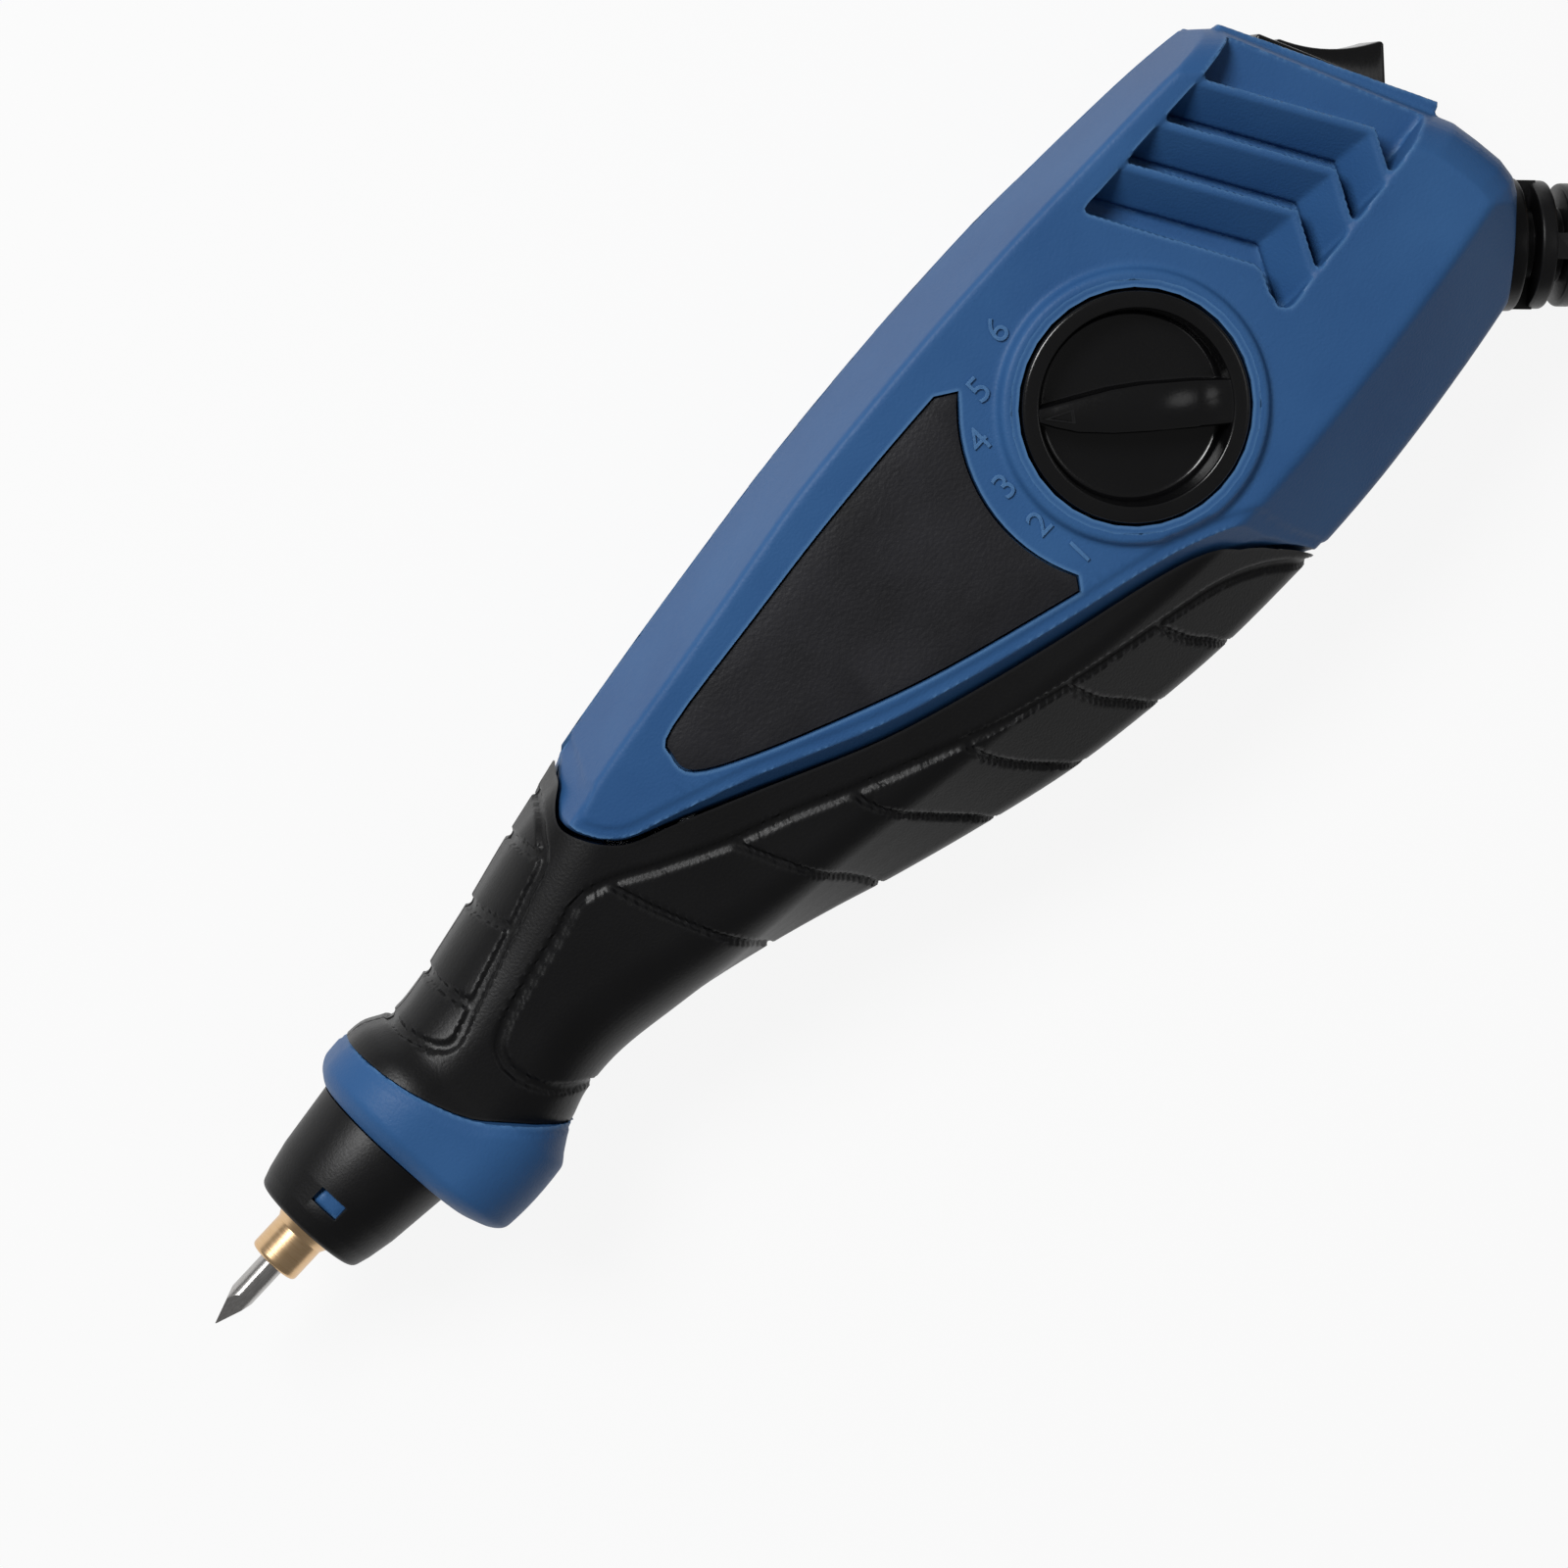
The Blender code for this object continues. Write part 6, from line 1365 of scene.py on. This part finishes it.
def makeTie():
    inner, outer = tie["reach"]
    thick = tie["thick"]
    half = tie["width"] / 2
    strap = toObject(block((inner - thick, outer + thick), (-half, half), (0, tie["top"] + thick)),
                     "cordTie")
    softEdges(strap, tie["outerEdge"], 4)
    room = toObject(block((inner, outer), (-past, past), (thick, tie["top"])), "room")
    softEdges(room, tie["innerEdge"], 4)
    combine(strap, room)
    turn = (Matrix.Translation((*cord["centre"], -halfThick))
            @ Matrix.Rotation(radians(tie["angle"]), 4, "Z"))
    strap.data.transform(turn)
    place(strap, "housing", softRubber, ("cord_tie",))
    return strap


def makePlug():
    rings = []
    for u, width, thick in plug["rings"]:
        corner = min(plug["corner"], thick * plug["cornerShare"])
        ring = []
        for k in range(plug["steps"]):
            turn = 2 * pi * (k + 0.5) / plug["steps"]
            across = cos(turn) * corner + (width / 2 - corner) * (1 if cos(turn) > 0 else -1)
            upward = sin(turn) * corner + (thick / 2 - corner) * (1 if sin(turn) > 0 else -1)
            ring.append((u, across, upward))
        rings.append(ring)
    before, end = (Vector(point) for point in cord["tail"][-2:])
    turn = (Matrix.Translation(end - onTable)
            @ Matrix.Rotation(atan2(end.y - before.y, end.x - before.x), 4, "Z"))
    body = toObject(moved(loft(rings), turn), "plugBody")
    softEdges(body, plug["edge"], 4, 60)
    combine(body, moved(rod((-past, gap), cord["radius"] + gap), turn))
    front = plug["rings"][-1][0]
    wide, thick, length = plug["blade"]
    radius, inset = plug["hole"]
    pieces = []
    for number, v in enumerate((-plug["spread"] / 2, plug["spread"] / 2), 1):
        room = block((front - plug["root"] - gap, front + over), (v - thick / 2 - gap, v + thick / 2 + gap),
                     (-wide / 2 - gap, wide / 2 + gap))
        combine(body, moved(room, turn))
        metal = toObject(block((front - plug["root"], front + length), (v - thick / 2, v + thick / 2),
                               (-wide / 2, wide / 2)), "plugBlade%d" % number)
        softEdges(metal, plug["bladeEdge"], 3)
        hole = moved(rod((-past, past), radius, "Z", steps=32),
                     Matrix.Translation((front + length - inset, 0, 0)) @ Matrix.Rotation(pi / 2, 4, "X"))
        combine(metal, hole)
        metal.data.transform(turn)
        place(metal, "housing", turnedBrass, ("plug_blade_%d" % number,))
        pieces.append(metal)
    place(body, "housing", cableVinyl, ("plug_body",))
    return [body, *pieces]


freeCord = makeCord()
cordParts = makePlug() + [makeTie()]
print("cord is laid")


# The finish of every solid from the drawing

finishes = {
    blueNylon: ("front_shell", "rear_shell", "nose_collar"),
    softRubber: ("front_grip", "rear_grip", "buffer", "cord_tie"),
    grainedAbs: ("nose_cap",),
    blackAbs: ("depth_dial", "switch_body", "rocker"),
    grainedLabel: ("label_plate",),
    cableVinyl: ("strain_relief", "cord", "cord_coil", "cord_tail", "plug_body"),
    naturalNylon: ("bobbin", "dial_cam", "stop_slider", "cord_clamp"),
    turnedBrass: ("chuck", "terminal_1", "terminal_2", "plug_blade_1", "plug_blade_2"),
    groundSteel: ("set_screw", "plunger_rod", "return_spring", "dial_screw", "shell_screw_1",
                  "shell_screw_2", "shell_screw_3", "shell_screw_4", "clamp_screw_1",
                  "clamp_screw_2"),
    groundCarbide: ("engraving_bit",),
    sinteredBronze: ("front_bushing",),
    laminatedIron: ("armature", "magnet_core"),
    enamelledCopper: ("winding",),
}
for material, nodeNames in finishes.items():
    for nodeName in nodeNames:
        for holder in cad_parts[nodeName].material_slots:
            holder.link = "OBJECT"
            holder.material = material
print("finishes are given")
